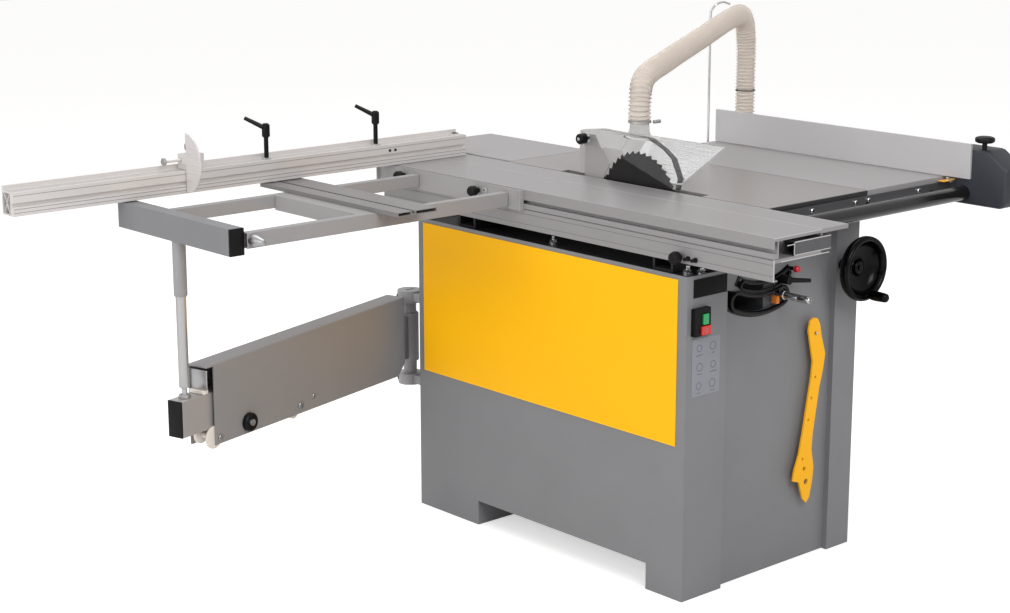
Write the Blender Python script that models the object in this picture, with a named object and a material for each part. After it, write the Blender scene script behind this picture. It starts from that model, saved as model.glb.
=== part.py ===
"""A sliding-table panel saw: cabinet, tilting blade unit, cast-iron table, carriage with outrigger,
crosscut fence, rip fence and swinging support arm. Metres, +Z up. The blade plane is X=0, the
arbor is at Y=0 and the floor is Z=0; +X is toward the rip fence and -Y toward the operator."""

import math

import bpy
from mathutils import Matrix, Vector

for old in list(bpy.data.objects):
    bpy.data.objects.remove(old, do_unlink=True)

# ---------------------------------------------------------------- driving dimensions
GAP = 0.0003  # between pieces that touch
SHEET = 0.003  # cabinet sheet
TABLE_Z = 0.850

CAB_LEFT = -0.256
CAB_STEP = -0.129  # right side of the low left box
CAB_COLUMN = 0.239  # left side of the right-hand front column
CAB_RIGHT = 0.318
CAB_FRONT = -0.397
CAB_REAR = 0.504
CAB_RECESS = 0.0153
BOX_TOP = TABLE_Z - 0.1184
PALLET_Z = 0.061
PALLET_Y0 = -0.286
PALLET_Y1 = 0.2845

PANEL_T = 0.002
PANEL_Z0 = 0.352
PANEL_Z1 = 0.7225
TRAY_Z = BOX_TOP - 0.0081
TRAY_T = 0.003

TABLE_LEFT = -0.0095
TABLE_RIGHT = 0.333
TABLE_FRONT = -0.402
TABLE_REAR = 0.450
TABLE_DEPTH = 0.040
TABLE_TOP_T = 0.008
TABLE_RIM = 0.012
NOTCH_RIGHT = 0.018
NOTCH_Y0 = -0.204
NOTCH_Y1 = 0.260
REAR_EXT_RIGHT = 0.268
REAR_EXT_REAR = 0.835
RIGHT_EXT_RIGHT = 0.700
RIGHT_EXT_REAR = 0.340
EXT_DEPTH = 0.030
EXT_SHEET = 0.0025

BLADE_R = 0.125
BLADE_RISE = 0.078
BLADE_T = 0.0024
TEETH = 40
TILT_SHAFT_R = 0.210
TILT_SHAFT_DEG = 14.5
CLAMP_R = 0.180
CLAMP_DEG = 19.5

SLIDE_LEFT = -0.250
SLIDE_SPLIT = -0.0975
SLIDE_RIGHT = -0.0135
SLIDE_FRONT = -0.628
SLIDE_REAR = 0.645
BASE_Z0 = TABLE_Z - 0.092
BASE_Z1 = TABLE_Z - 0.0453
BASE_RIGHT = -0.100
BASE_WEB = 0.0077
TOP_T = 0.008
LIP_T = 0.009

RAIL_Z = TABLE_Z - 0.033
RAIL_Y = -0.460
RAIL_R = 0.017
RAIL_END = 0.740
FENCE_X = 0.6175
FENCE_T = 0.008
FENCE_Y0 = -0.4806
FENCE_Y1 = 0.331
FENCE_Z0 = TABLE_Z + 0.003
FENCE_Z1 = TABLE_Z + 0.0866
BLOCK_W = 0.072

CROSS_LEFT = -1.2838
CROSS_RIGHT = -0.027
CROSS_Y0 = 0.592
CROSS_D = 0.047
CROSS_Z0 = TABLE_Z + 0.0006
CROSS_H = 0.0524
CROSS_RIB = 0.010
SWING_X = -0.300
LEVER_X = -0.622
STOP_X = -0.852

OUT_Z1 = TABLE_Z - 0.002
END_X0 = -1.0133
END_X1 = -0.9771
END_Y0 = 0.191
END_Y1 = 0.626
END_Z0 = OUT_Z1 - 0.058
BAR_Z0 = OUT_Z1 - 0.044
BAR_Z1 = OUT_Z1 - 0.010
BAR_W = 0.020
NEAR_Y = 0.175
FAR_Y = 0.500
PLATE_Y0 = 0.127
PLATE_Y1 = 0.660
PLATE_X0 = -0.262
PLATE_X1 = -0.2503
PLATE_T = 0.004

PIVOT = (-0.1855, 0.630)
STRUT = (-0.995, 0.410)
COLUMN_R = 0.017
ARM_W = 0.050
ARM_END = 0.800
ARM_Z0 = 0.316
ARM_Z1 = 0.514
TUBE_Z0 = 0.355
TUBE_H = 0.082
TUBE_W = 0.040
ROLLER_R = 0.020
ROLLER_S = 0.775

HOSE_R = 0.025
NECK = (0.006, 0.010, TABLE_Z + 0.140)
PORT = (CAB_RIGHT + 0.042, 0.200, 0.330)
WHEEL = (0.260, 0.686)
WHEEL_R = 0.074

MID_X = (CROSS_LEFT + RAIL_END) / 2
MID_Y = (SLIDE_FRONT + REAR_EXT_REAR) / 2
BLADE_Z = TABLE_Z + BLADE_RISE - BLADE_R
TABLE_UNDER = TABLE_Z - TABLE_DEPTH
CAB_TOP = TABLE_UNDER - GAP
RECESS_Y = CAB_FRONT + CAB_RECESS

# ---------------------------------------------------------------- colours
PAINT = (0.19, 0.19, 0.195)
YELLOW = (0.97, 0.51, 0.01)
IRON = (0.36, 0.36, 0.36)
TABLE_PAINT = (0.31, 0.31, 0.315)
ALU = (0.55, 0.55, 0.55)
DARK = (0.012, 0.012, 0.013)
STEEL = (0.45, 0.45, 0.45)
BLUE_GRAY = (0.045, 0.051, 0.065)
CLEAR = (0.75, 0.75, 0.74)
GREEN = (0.0, 0.35, 0.08)
RED = (0.6, 0.01, 0.01)

# ---------------------------------------------------------------- body frames
BODIES = {"stand": (0.0, 0.0, 0.0)}
EMPTIES = {}


def body(name, parent, at):
    empty = bpy.data.objects.new("at_" + name, None)
    bpy.context.scene.collection.objects.link(empty)
    BODIES[name] = at
    EMPTIES[name] = empty
    if parent is None:
        empty.location = (-MID_X, -MID_Y, 0.0)
        return
    up = BODIES[parent]
    empty.parent = EMPTIES[parent]
    empty.location = (at[0] - up[0], at[1] - up[1], at[2] - up[2])


def polar(radius, degrees):
    a = math.radians(degrees)
    return radius * math.sin(a), TABLE_Z - radius * math.cos(a)


ARM_DIR = Vector((STRUT[0] - PIVOT[0], STRUT[1] - PIVOT[1], 0.0))
ARM_REACH = ARM_DIR.length
ARM_DIR.normalize()
SHAFT_X, SHAFT_Z = polar(TILT_SHAFT_R, TILT_SHAFT_DEG)
CLAMP_X, CLAMP_Z = polar(CLAMP_R, CLAMP_DEG)
LEVER_Y = CROSS_Y0 + CROSS_D / 2
CROSS_TOP = CROSS_Z0 + CROSS_H
STOP_AXIS = (CROSS_Y0 + 0.020, CROSS_TOP + 0.022)
KNOB_AT = (BLADE_R + 0.046, TABLE_Z + 0.090)
MOTOR_AT = (0.120, BLADE_Z - 0.183)
RIP_BLOCK_X = FENCE_X + FENCE_T + GAP
ROLLER_AT = Vector((PIVOT[0], PIVOT[1], TUBE_Z0 - GAP - ROLLER_R)) + ARM_DIR * ROLLER_S

body("stand", None, (0.0, 0.0, 0.0))
body("tilt_unit", "stand", (0.0, 0.0, TABLE_Z))
body("blade_carrier", "tilt_unit", (0.0, 0.0, BLADE_Z))
body("spindle", "blade_carrier", (0.0, 0.0, BLADE_Z))
body("motor_rotor", "blade_carrier", (0.105, MOTOR_AT[0], MOTOR_AT[1]))
body("height_crank", "tilt_unit", (SHAFT_X, CAB_FRONT, SHAFT_Z))
body("tilt_clamp", "tilt_unit", (CLAMP_X, CAB_FRONT, CLAMP_Z))
body("guard_unit", "tilt_unit", (0.0, KNOB_AT[0], KNOB_AT[1]))
body("guard_screw", "guard_unit", (0.0, KNOB_AT[0], KNOB_AT[1]))
body("tilt_wheel", "stand", (WHEEL[0], CAB_FRONT, WHEEL[1]))
body("wheel_grip", "tilt_wheel", (WHEEL[0] + 0.012, -0.457, WHEEL[1] - 0.061))
body("start", "stand", (-0.2108, -0.405, 0.6365))
body("stop", "stand", (-0.2098, -0.405, 0.6123))
body("stick", "stand", (0.165, RECESS_Y, 0.541))
body("carriage", "stand", (SLIDE_SPLIT, 0.0, TABLE_Z))
body("swing_fence", "carriage", (SWING_X, LEVER_Y, CROSS_Z0))
body("lever_in", "swing_fence", (SWING_X, LEVER_Y, CROSS_TOP))
body("lever_out", "swing_fence", (LEVER_X, LEVER_Y, CROSS_TOP))
body("stop_slide", "swing_fence", (STOP_X, STOP_AXIS[0], STOP_AXIS[1]))
body("stop_flap", "stop_slide", (STOP_X, STOP_AXIS[0], STOP_AXIS[1]))
body("knob_front", "carriage", (PLATE_X0, 0.281, 0.829))
body("knob_rear", "carriage", (PLATE_X0, 0.558, 0.829))
body("rip_fence", "stand", (FENCE_X, RAIL_Y, RAIL_Z))
body("rip_plate", "rip_fence", (FENCE_X, RAIL_Y, FENCE_Z0))
body("rip_clamp", "rip_fence", (RIP_BLOCK_X + 0.0145, -0.5035, 0.925))
body("arm", "stand", (PIVOT[0], PIVOT[1], ARM_Z0))
body("telescope", "arm", (STRUT[0], STRUT[1], TUBE_Z0))
body("roller", "arm", tuple(ROLLER_AT))


# ---------------------------------------------------------------- shapes, all in machine coordinates
def mesh_object(name, points, faces):
    data = bpy.data.meshes.new(name)
    data.from_pydata([tuple(p) for p in points], [], faces)
    data.validate()
    made = bpy.data.objects.new(name, data)
    bpy.context.scene.collection.objects.link(made)
    volume = 0.0
    for poly in data.polygons:
        corners = [data.vertices[i].co for i in poly.vertices]
        for k in range(1, len(corners) - 1):
            volume += corners[0].dot(corners[k].cross(corners[k + 1]))
    if volume < 0:
        data.flip_normals()
    return made


def prism(name, axis, outline, start, end):
    """An outline in the other two axes, in the order x y z, extruded along one axis."""
    def at(u, v, w):
        return {"x": (w, u, v), "y": (u, w, v), "z": (u, v, w)}[axis]

    n = len(outline)
    points = [at(u, v, start) for u, v in outline] + [at(u, v, end) for u, v in outline]
    faces = [tuple(range(n)), tuple(range(2 * n - 1, n - 1, -1))]
    faces += [(i, i + n, (i + 1) % n + n, (i + 1) % n) for i in range(n)]
    return mesh_object(name, points, faces)


def box(name, x0, x1, y0, y1, z0, z1):
    return prism(name, "z", [(x0, y0), (x1, y0), (x1, y1), (x0, y1)], z0, z1)


def lathe(name, axis, centre, profile, sides=24):
    """Profile of (radius, place along the axis), from the axis to the axis or back to its first point."""
    rings = []
    points = []
    for r, w in profile:
        if rings and (r, w) == profile[0] and r > 0:
            rings.append(rings[0])
            continue
        if r < 1e-9:
            rings.append([len(points)])
            points.append((0.0, 0.0, w))
            continue
        rings.append([len(points) + k for k in range(sides)])
        for k in range(sides):
            a = 2 * math.pi * k / sides
            points.append((r * math.cos(a), r * math.sin(a), w))
    faces = []
    for low, high in zip(rings, rings[1:]):
        for k in range(sides):
            j = (k + 1) % sides
            if len(low) == 1 and len(high) > 1:
                faces.append((low[0], high[j], high[k]))
            elif len(high) == 1 and len(low) > 1:
                faces.append((low[k], low[j], high[0]))
            elif len(low) > 1:
                faces.append((low[k], low[j], high[j], high[k]))
    order = {"x": (2, 0, 1), "y": (1, 2, 0), "z": (0, 1, 2)}[axis]
    turned = []
    for p in points:
        q = [p[order[0]], p[order[1]], p[order[2]]]
        turned.append([q[i] + centre[i] for i in range(3)])
    return mesh_object(name, turned, faces)


def cylinder(name, axis, centre, radius, start, end, sides=24):
    """Round bar whose two other coordinates are those of centre."""
    spot = [0.0 if "xyz"[i] == axis else centre[i] for i in range(3)]
    return lathe(name, axis, spot, [(0, start), (radius, start), (radius, end), (0, end)], sides)


def rod(name, p, q, r0, r1, sides=12):
    made = lathe(name, "z", (0, 0, 0), [(0, 0), (r0, 0), (r1, (Vector(q) - Vector(p)).length), (0, (Vector(q) - Vector(p)).length)], sides)
    turn = (Vector(q) - Vector(p)).to_track_quat("Z", "Y").to_matrix().to_4x4()
    made.data.transform(Matrix.Translation(Vector(p)) @ turn)
    return made


def arc_band(name, r0, r1, deg0, deg1, y0, y1, steps=14, round_ends=False):
    """A band round the tilt axis, seen from the front; 0 degrees is straight down."""
    outer = [polar(r1, deg0 + (deg1 - deg0) * k / steps) for k in range(steps + 1)]
    inner = [polar(r0, deg1 + (deg0 - deg1) * k / steps) for k in range(steps + 1)]
    end_a, end_b = [], []
    if round_ends:
        half = (r1 - r0) / 2
        for place, deg, sense in ((end_a, deg1, 1), (end_b, deg0, -1)):
            cx, cz = polar((r0 + r1) / 2, deg)
            out = Vector((math.sin(math.radians(deg)), -math.cos(math.radians(deg))))
            on = Vector((math.cos(math.radians(deg)), math.sin(math.radians(deg)))) * sense
            for k in range(1, 6):
                t = math.pi * k / 6
                step = out * math.cos(t) * sense + on * math.sin(t)
                place.append((cx + half * step.x, cz + half * step.y))
    return prism(name, "y", outer + end_a + inner + end_b, y0, y1)


def along_arm(name, outline, half):
    """An outline of (distance from the pivot, height), made as thick as twice half, across the arm."""
    made = prism(name, "y", outline, -half, half)
    turn = Matrix.Rotation(math.atan2(ARM_DIR.y, ARM_DIR.x), 4, "Z")
    made.data.transform(Matrix.Translation((PIVOT[0], PIVOT[1], 0)) @ turn)
    return made


def smooth_path(knots, spacing):
    """Points on a Catmull-Rom curve through the knots, about this far apart."""
    knots = [Vector(k) for k in knots]
    ends = [knots[0] * 2 - knots[1]] + knots + [knots[-1] * 2 - knots[-2]]
    points = [knots[0]]
    for i in range(1, len(ends) - 2):
        p0, p1, p2, p3 = ends[i - 1 : i + 3]
        n = max(1, round((p2 - p1).length / spacing))
        for k in range(1, n + 1):
            t = k / n
            points.append(
                0.5 * (2 * p1 + (p2 - p0) * t + (2 * p0 - 5 * p1 + 4 * p2 - p3) * t * t
                       + (3 * p1 - p0 - 3 * p2 + p3) * t ** 3)
            )
    return points


def piped(name, points, radius, resolution):
    data = bpy.data.curves.new(name, "CURVE")
    data.dimensions = "3D"
    data.bevel_depth = radius
    data.bevel_resolution = resolution
    data.use_fill_caps = True
    line = data.splines.new("POLY")
    line.points.add(len(points) - 1)
    for spot, p in zip(line.points, points):
        spot.co = (p[0], p[1], p[2], 1.0)
    made = bpy.data.objects.new(name, data)
    bpy.context.scene.collection.objects.link(made)
    return made


def node(made, of_body, colour, joined=(), cut=()):
    """Hangs a piece on its body and gives it its unions, its cuts and its material."""
    at = BODIES[of_body]
    for operation, others in (("UNION", joined), ("DIFFERENCE", cut)):
        for k, other in enumerate(others):
            other.name = made.name + ".tool_" + operation.lower() + str(k)
            other.parent = EMPTIES[of_body]
            other.location = (-at[0], -at[1], -at[2])
            other.hide_render = True
            other.display_type = "WIRE"
            step = made.modifiers.new(operation.lower() + str(k), "BOOLEAN")
            step.operation = operation
            step.solver = "EXACT"
            step.object = other
    made.parent = EMPTIES[of_body]
    made.location = (-at[0], -at[1], -at[2])
    paint = bpy.data.materials.new(made.name)
    paint.use_nodes = True
    paint.node_tree.nodes["Principled BSDF"].inputs["Base Color"].default_value = (*colour, 1.0)
    paint.node_tree.nodes["Principled BSDF"].inputs["Roughness"].default_value = 0.45
    made.data.materials.append(paint)
    return made


# ---------------------------------------------------------------- cabinet
def plan(inset):
    """Outline of the cabinet from above, with its recessed front panel."""
    x0, x1, y0, y1 = CAB_LEFT + inset, CAB_RIGHT - inset, CAB_FRONT + inset, CAB_REAR - inset
    step, column, back = CAB_STEP - inset, CAB_COLUMN + inset, RECESS_Y + inset
    return [(x0, y0), (step, y0), (step, back), (column, back), (column, y0), (x1, y0), (x1, y1), (x0, y1)]


shell = prism("cabinet_shell", "z", plan(0.0), 0.0, CAB_TOP)
inner = plan(SHEET)
tilt_slot = arc_band("s", 0.2025, 0.232, -31, 17, -0.45, -0.36, round_ends=True)
clamp_slot = arc_band("s", 0.174, 0.186, -27, 27, -0.45, -0.36, round_ends=True)
pocket = box("p", CAB_LEFT + SHEET, CAB_RIGHT - SHEET, RECESS_Y + SHEET, PALLET_Y0 - SHEET, SHEET, PALLET_Z + 0.02)
pocket_rear = box("p", CAB_LEFT + SHEET, CAB_RIGHT - SHEET, PALLET_Y1 + SHEET, CAB_REAR - SHEET, SHEET, PALLET_Z + 0.02)
node(
    shell,
    "stand",
    PAINT,
    joined=[lathe("peg", "y", (0.165, 0, 0.541),
                  [(0, RECESS_Y + 0.001), (0.006, RECESS_Y + 0.001), (0.006, RECESS_Y - 0.016), (0.0028, RECESS_Y - 0.016),
                   (0.0028, RECESS_Y - 0.0265), (0, RECESS_Y - 0.0265)], 12)],
    cut=[
        prism("hollow", "z", inner, PALLET_Z + SHEET, BOX_TOP + 0.001),
        prism("hollow_up", "z", [(max(x, CAB_STEP + SHEET), y) for x, y in inner[2:]], BOX_TOP, CAB_TOP + 0.01),
        box("low_left", CAB_LEFT - 0.01, CAB_STEP, CAB_FRONT - 0.01, CAB_REAR + 0.01, BOX_TOP, CAB_TOP + 0.01),
        box("under_base", CAB_STEP - 0.01, BASE_RIGHT + 0.005, CAB_FRONT - 0.01, CAB_REAR + 0.01,
            BASE_Z1 - BASE_WEB - 0.0005, CAB_TOP + 0.01),
        box("pallet", CAB_LEFT - 0.01, CAB_RIGHT + 0.01, PALLET_Y0, PALLET_Y1, -0.01, PALLET_Z),
        pocket,
        pocket_rear,
        tilt_slot,
        clamp_slot,
        cylinder("port", "x", (0, PORT[1], PORT[2]), 0.024, CAB_RIGHT - 0.01, CAB_RIGHT + 0.01),
    ],
)
node(box("side_panel", CAB_LEFT - GAP - PANEL_T, CAB_LEFT - GAP, -0.3705, 0.484, PANEL_Z0, PANEL_Z1), "stand", YELLOW)
node(
    box("top_tray", CAB_LEFT + SHEET + GAP, CAB_STEP - SHEET - GAP, CAB_FRONT + SHEET + GAP, CAB_REAR - SHEET - GAP,
        TRAY_Z, TRAY_Z + TRAY_T),
    "stand", DARK,
)
node(
    arc_band("tilt_slot_trim", 0.199, 0.245, -28.0, 18, RECESS_Y - GAP - 0.002, RECESS_Y - GAP, round_ends=True),
    "stand", DARK,
    cut=[arc_band("s", 0.2025, 0.232, -31, 17, -0.45, -0.36, round_ends=True)],
)
node(
    arc_band("tilt_scale_trim", 0.164, 0.1875, -29, 31, RECESS_Y - GAP - 0.002, RECESS_Y - GAP),
    "stand", DARK,
    cut=[arc_band("s", 0.174, 0.186, -28, 27, -0.45, -0.36)],
)

# switch box with two sprung buttons
node(
    box("switch_box", -0.243, -0.194, CAB_FRONT - GAP - 0.012, CAB_FRONT - GAP, 0.600, 0.661),
    "stand", DARK,
    cut=[
        box("c", -0.2193, -0.2022, -0.42, -0.4013, 0.6245, 0.6485),
        box("c", -0.2243, -0.1952, -0.42, -0.4013, 0.6022, 0.6222),
    ],
)
node(box("start_button", -0.2190, -0.2025, -0.4123, -0.4048, 0.6248, 0.6482), "start", GREEN)
node(box("stop_button", -0.2240, -0.1955, -0.4133, -0.4048, 0.6025, 0.6219), "stop", RED)

# tilting handwheel
wheel = lathe(
    "tilt_handwheel", "y", (WHEEL[0], 0, WHEEL[1]),
    [(0, CAB_FRONT - GAP), (0.014, CAB_FRONT - GAP), (0.014, -0.428), (0.036, -0.432), (WHEEL_R - 0.006, -0.440),
     (WHEEL_R, -0.445), (WHEEL_R, -0.453), (WHEEL_R - 0.005, -0.457), (0.050, -0.457), (0.030, -0.444), (0, -0.444)],
    36,
)
node(wheel, "tilt_wheel", DARK)
node(
    lathe("handwheel_grip", "y", (WHEEL[0] + 0.012, 0, WHEEL[1] - 0.061),
          [(0, -0.4573), (0.007, -0.4573), (0.0095, -0.475), (0.0085, -0.512), (0.005, -0.520), (0, -0.520)], 16),
    "wheel_grip", DARK,
)

# push stick on its peg
STICK = [
    (0.142, 0.550), (0.147, 0.572), (0.158, 0.578), (0.172, 0.574), (0.181, 0.560), (0.188, 0.530), (0.203, 0.487),
    (0.197, 0.450), (0.186, 0.410), (0.176, 0.350), (0.168, 0.300), (0.1656, 0.2645), (0.175, 0.221), (0.172, 0.190),
    (0.163, 0.150), (0.152, 0.138), (0.140, 0.150), (0.125, 0.193), (0.1035, 0.200), (0.108, 0.225), (0.122, 0.260),
    (0.133, 0.310), (0.146, 0.380), (0.157, 0.440), (0.160, 0.475), (0.150, 0.515),
]
node(
    prism("push_stick", "y", STICK, RECESS_Y - 0.016 - GAP - 0.005, RECESS_Y - 0.016 - GAP),
    "stick", YELLOW,
    cut=[cylinder("h", "y", (x, 0, z), r, -0.42, -0.37, 12) for x, z, r in
         ((0.165, 0.541, 0.0032), (0.1705, 0.436, 0.0035), (0.159, 0.3885, 0.0035), (0.1505, 0.338, 0.0035),
          (0.135, 0.247, 0.0035), (0.142, 0.2225, 0.005), (0.149, 0.190, 0.007))],
)

# ---------------------------------------------------------------- tables
node(
    box("saw_table", TABLE_LEFT, TABLE_RIGHT, TABLE_FRONT, TABLE_REAR, TABLE_UNDER, TABLE_Z),
    "stand", IRON,
    cut=[
        box("c", TABLE_LEFT + TABLE_RIM, TABLE_RIGHT - TABLE_RIM, TABLE_FRONT + TABLE_RIM, TABLE_REAR - TABLE_RIM,
            TABLE_UNDER - 0.01, TABLE_Z - TABLE_TOP_T),
        box("c", TABLE_LEFT - 0.01, NOTCH_RIGHT, NOTCH_Y0, NOTCH_Y1, TABLE_UNDER - 0.01, TABLE_Z + 0.01),
    ],
)
node(
    box("rear_extension", 0.0, REAR_EXT_RIGHT, TABLE_REAR + GAP, REAR_EXT_REAR, TABLE_Z - EXT_DEPTH, TABLE_Z),
    "stand", TABLE_PAINT,
    cut=[box("c", EXT_SHEET, REAR_EXT_RIGHT - EXT_SHEET, TABLE_REAR + GAP + EXT_SHEET, REAR_EXT_REAR - EXT_SHEET,
             TABLE_Z - EXT_DEPTH - 0.01, TABLE_Z - EXT_SHEET)],
)
node(
    box("right_extension", TABLE_RIGHT + GAP, RIGHT_EXT_RIGHT, TABLE_FRONT, RIGHT_EXT_REAR, TABLE_Z - EXT_DEPTH, TABLE_Z),
    "stand", TABLE_PAINT,
    cut=[box("c", TABLE_RIGHT + GAP + EXT_SHEET, RIGHT_EXT_RIGHT - EXT_SHEET, TABLE_FRONT + EXT_SHEET,
             RIGHT_EXT_REAR - EXT_SHEET, TABLE_Z - EXT_DEPTH - 0.01, TABLE_Z - EXT_SHEET)],
)

# rails of the rip fence
ANGLE_T = 0.004
ANGLE_Z0 = TABLE_Z - 0.050
ANGLE_Z1 = TABLE_Z - 0.012
node(
    prism("fence_rail_angle", "x", [
        (TABLE_FRONT - GAP, ANGLE_Z0), (TABLE_FRONT - GAP, ANGLE_Z1), (TABLE_FRONT - GAP - ANGLE_T, ANGLE_Z1),
        (TABLE_FRONT - GAP - ANGLE_T, ANGLE_Z0 + ANGLE_T), (TABLE_FRONT - 0.022, ANGLE_Z0 + ANGLE_T),
        (TABLE_FRONT - 0.022, ANGLE_Z0)], 0.0, RIGHT_EXT_RIGHT),
    "stand", STEEL,
)
node(
    cylinder("fence_rail_round", "x", (0, RAIL_Y, RAIL_Z), RAIL_R, 0.0, RAIL_END),
    "stand", DARK,
    joined=[cylinder("s", "y", (x, 0, RAIL_Z), 0.006, RAIL_Y, TABLE_FRONT - 2 * GAP - ANGLE_T, 12)
            for x in (0.060, 0.330, 0.570)],
)

# ---------------------------------------------------------------- rip fence
BLOCK_FRONT = RAIL_Y - 0.120
BLOCK_REAR = RAIL_Y + 0.030
BLOCK_Z0 = RAIL_Z - 0.027
BLOCK_Z1 = RAIL_Z + 0.108
block = prism("rip_fence_block", "x", [
    (BLOCK_REAR, BLOCK_Z0), (BLOCK_FRONT + 0.015, BLOCK_Z0), (BLOCK_FRONT, BLOCK_Z0 + 0.015),
    (BLOCK_FRONT, BLOCK_Z1 - 0.040), (BLOCK_FRONT + 0.058, BLOCK_Z1), (BLOCK_REAR, BLOCK_Z1)],
    RIP_BLOCK_X, RIP_BLOCK_X + BLOCK_W)
node(
    block, "rip_fence", BLUE_GRAY,
    cut=[
        cylinder("c", "x", (0, RAIL_Y, RAIL_Z), RAIL_R + GAP, 0.5, 0.8),
        box("c", 0.5, 0.8, RAIL_Y, -0.42, RAIL_Z - 0.010, RAIL_Z + 0.010),
    ],
)
KNOB_Z = BLOCK_Z1 + GAP
node(box("rip_fence_plate", FENCE_X, FENCE_X + FENCE_T, FENCE_Y0, FENCE_Y1, FENCE_Z0, FENCE_Z1), "rip_plate", ALU)
node(
    lathe("rip_fence_knob", "z", (RIP_BLOCK_X + 0.0145, -0.5035, 0),
          [(0, KNOB_Z), (0.006, KNOB_Z), (0.006, KNOB_Z + 0.0142), (0.018, KNOB_Z + 0.0152), (0.0235, KNOB_Z + 0.0197),
           (0.0235, KNOB_Z + 0.0257), (0.016, KNOB_Z + 0.0307), (0, KNOB_Z + 0.0307)], 24),
    "rip_clamp", DARK,
)

# ---------------------------------------------------------------- slide base, brackets, channel
node(
    prism("slide_base", "y", [
        (SLIDE_LEFT, BASE_Z0), (SLIDE_LEFT, BASE_Z1), (BASE_RIGHT, BASE_Z1), (BASE_RIGHT, BASE_Z1 - BASE_WEB),
        (SLIDE_LEFT + 0.004, BASE_Z1 - BASE_WEB), (SLIDE_LEFT + 0.004, BASE_Z0 + 0.003),
        (SLIDE_LEFT + 0.014, BASE_Z0 + 0.003), (SLIDE_LEFT + 0.014, BASE_Z0)], SLIDE_FRONT, SLIDE_REAR),
    "stand", TABLE_PAINT,
)
for name, y in (("slide_bracket_front", -0.330), ("slide_bracket_rear", 0.320)):
    node(
        box(name, -0.232, -0.142, y, y + 0.060, TRAY_Z + TRAY_T + GAP, BASE_Z1 - BASE_WEB - GAP),
        "stand", PAINT,
        cut=[box("c", -0.24, -0.13, y + 0.006, y + 0.054, TRAY_Z + TRAY_T + 0.006, BASE_Z1 - BASE_WEB - 0.007)],
    )
CH_Z0 = BASE_Z1 + GAP
node(
    box("slide_end_channel", -0.187, -0.070, SLIDE_FRONT, SLIDE_FRONT + 0.030, CH_Z0, CH_Z0 + 0.0295),
    "stand", ALU,
    cut=[box("c", -0.2, -0.06, SLIDE_FRONT + 0.0025, SLIDE_FRONT + 0.0275, CH_Z0 + 0.0025, CH_Z0 + 0.027)],
)

# ---------------------------------------------------------------- carriage
FOOT = BASE_Z1 + 0.0006
UNDER = TABLE_Z - TOP_T
node(
    prism("carriage_top", "y", [
        (SLIDE_LEFT, TABLE_Z), (SLIDE_SPLIT - GAP, TABLE_Z), (SLIDE_SPLIT - GAP, TABLE_Z - 0.0145),
        (SLIDE_SPLIT - GAP - 0.003, TABLE_Z - 0.0145), (SLIDE_SPLIT - GAP - 0.003, UNDER), (SLIDE_LEFT + 0.016, UNDER),
        (SLIDE_LEFT + 0.016, FOOT), (SLIDE_LEFT, FOOT), (SLIDE_LEFT, FOOT + 0.012), (SLIDE_LEFT + 0.012, FOOT + 0.012),
        (SLIDE_LEFT + 0.012, UNDER), (SLIDE_LEFT + 0.003, UNDER), (SLIDE_LEFT + 0.003, UNDER - 0.016), (SLIDE_LEFT, UNDER - 0.016)],
        SLIDE_FRONT, SLIDE_REAR),
    "carriage", TABLE_PAINT,
)
node(box("carriage_lip", SLIDE_SPLIT, SLIDE_RIGHT, SLIDE_FRONT, SLIDE_REAR, TABLE_Z - LIP_T, TABLE_Z), "carriage", TABLE_PAINT)

# ---------------------------------------------------------------- outrigger
BAR_END = PLATE_X1 - PLATE_T - GAP
node(
    prism("outrigger_plate", "z", [
        (PLATE_X1, PLATE_Y0), (PLATE_X0, PLATE_Y0), (PLATE_X0, PLATE_Y0 + PLATE_T), (PLATE_X1 - PLATE_T, PLATE_Y0 + PLATE_T),
        (PLATE_X1 - PLATE_T, PLATE_Y1 - PLATE_T), (PLATE_X0, PLATE_Y1 - PLATE_T), (PLATE_X0, PLATE_Y1), (PLATE_X1, PLATE_Y1)],
        OUT_Z1 - 0.048, OUT_Z1),
    "carriage", TABLE_PAINT,
)
node(
    box("outrigger_end_tube", END_X0, END_X1, END_Y0, END_Y1, END_Z0, OUT_Z1), "carriage", PAINT,
    cut=[box("c", END_X0 + 0.0025, END_X1 - 0.0025, END_Y0 - 0.01, END_Y1 + 0.01, END_Z0 + 0.0025, OUT_Z1 - 0.0025)],
)
node(box("outrigger_end_cap", END_X0, END_X1, END_Y0 - GAP - 0.005, END_Y0 - GAP, END_Z0, OUT_Z1), "carriage", DARK)
for name, y, z0 in (("outrigger_near_bar", NEAR_Y, BAR_Z0), ("outrigger_far_bar", FAR_Y, BAR_Z0 + 0.004)):
    node(
        box(name, END_X1 + GAP, BAR_END, y, y + BAR_W, z0, BAR_Z1), "carriage", PAINT,
        cut=[box("c", END_X1 - 0.01, BAR_END + 0.01, y + 0.0025, y + BAR_W - 0.0025, z0 + 0.0025, BAR_Z1 - 0.0025)],
    )
CROSS_TUBE_X0, CROSS_TUBE_X1 = -0.680, -0.615
node(
    box("outrigger_cross_tube", CROSS_TUBE_X0, CROSS_TUBE_X1, NEAR_Y + BAR_W + GAP, FAR_Y - GAP, BAR_Z0, BAR_Z1),
    "carriage", PAINT,
    cut=[box("c", CROSS_TUBE_X0 + 0.0025, CROSS_TUBE_X1 - 0.0025, 0.1, 0.6, BAR_Z0 + 0.0025, BAR_Z1 - 0.0025)],
)
SLAT_X0, SLAT_X1, SLAT_Z0 = -0.640, -0.530, BAR_Z1 + GAP
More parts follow.
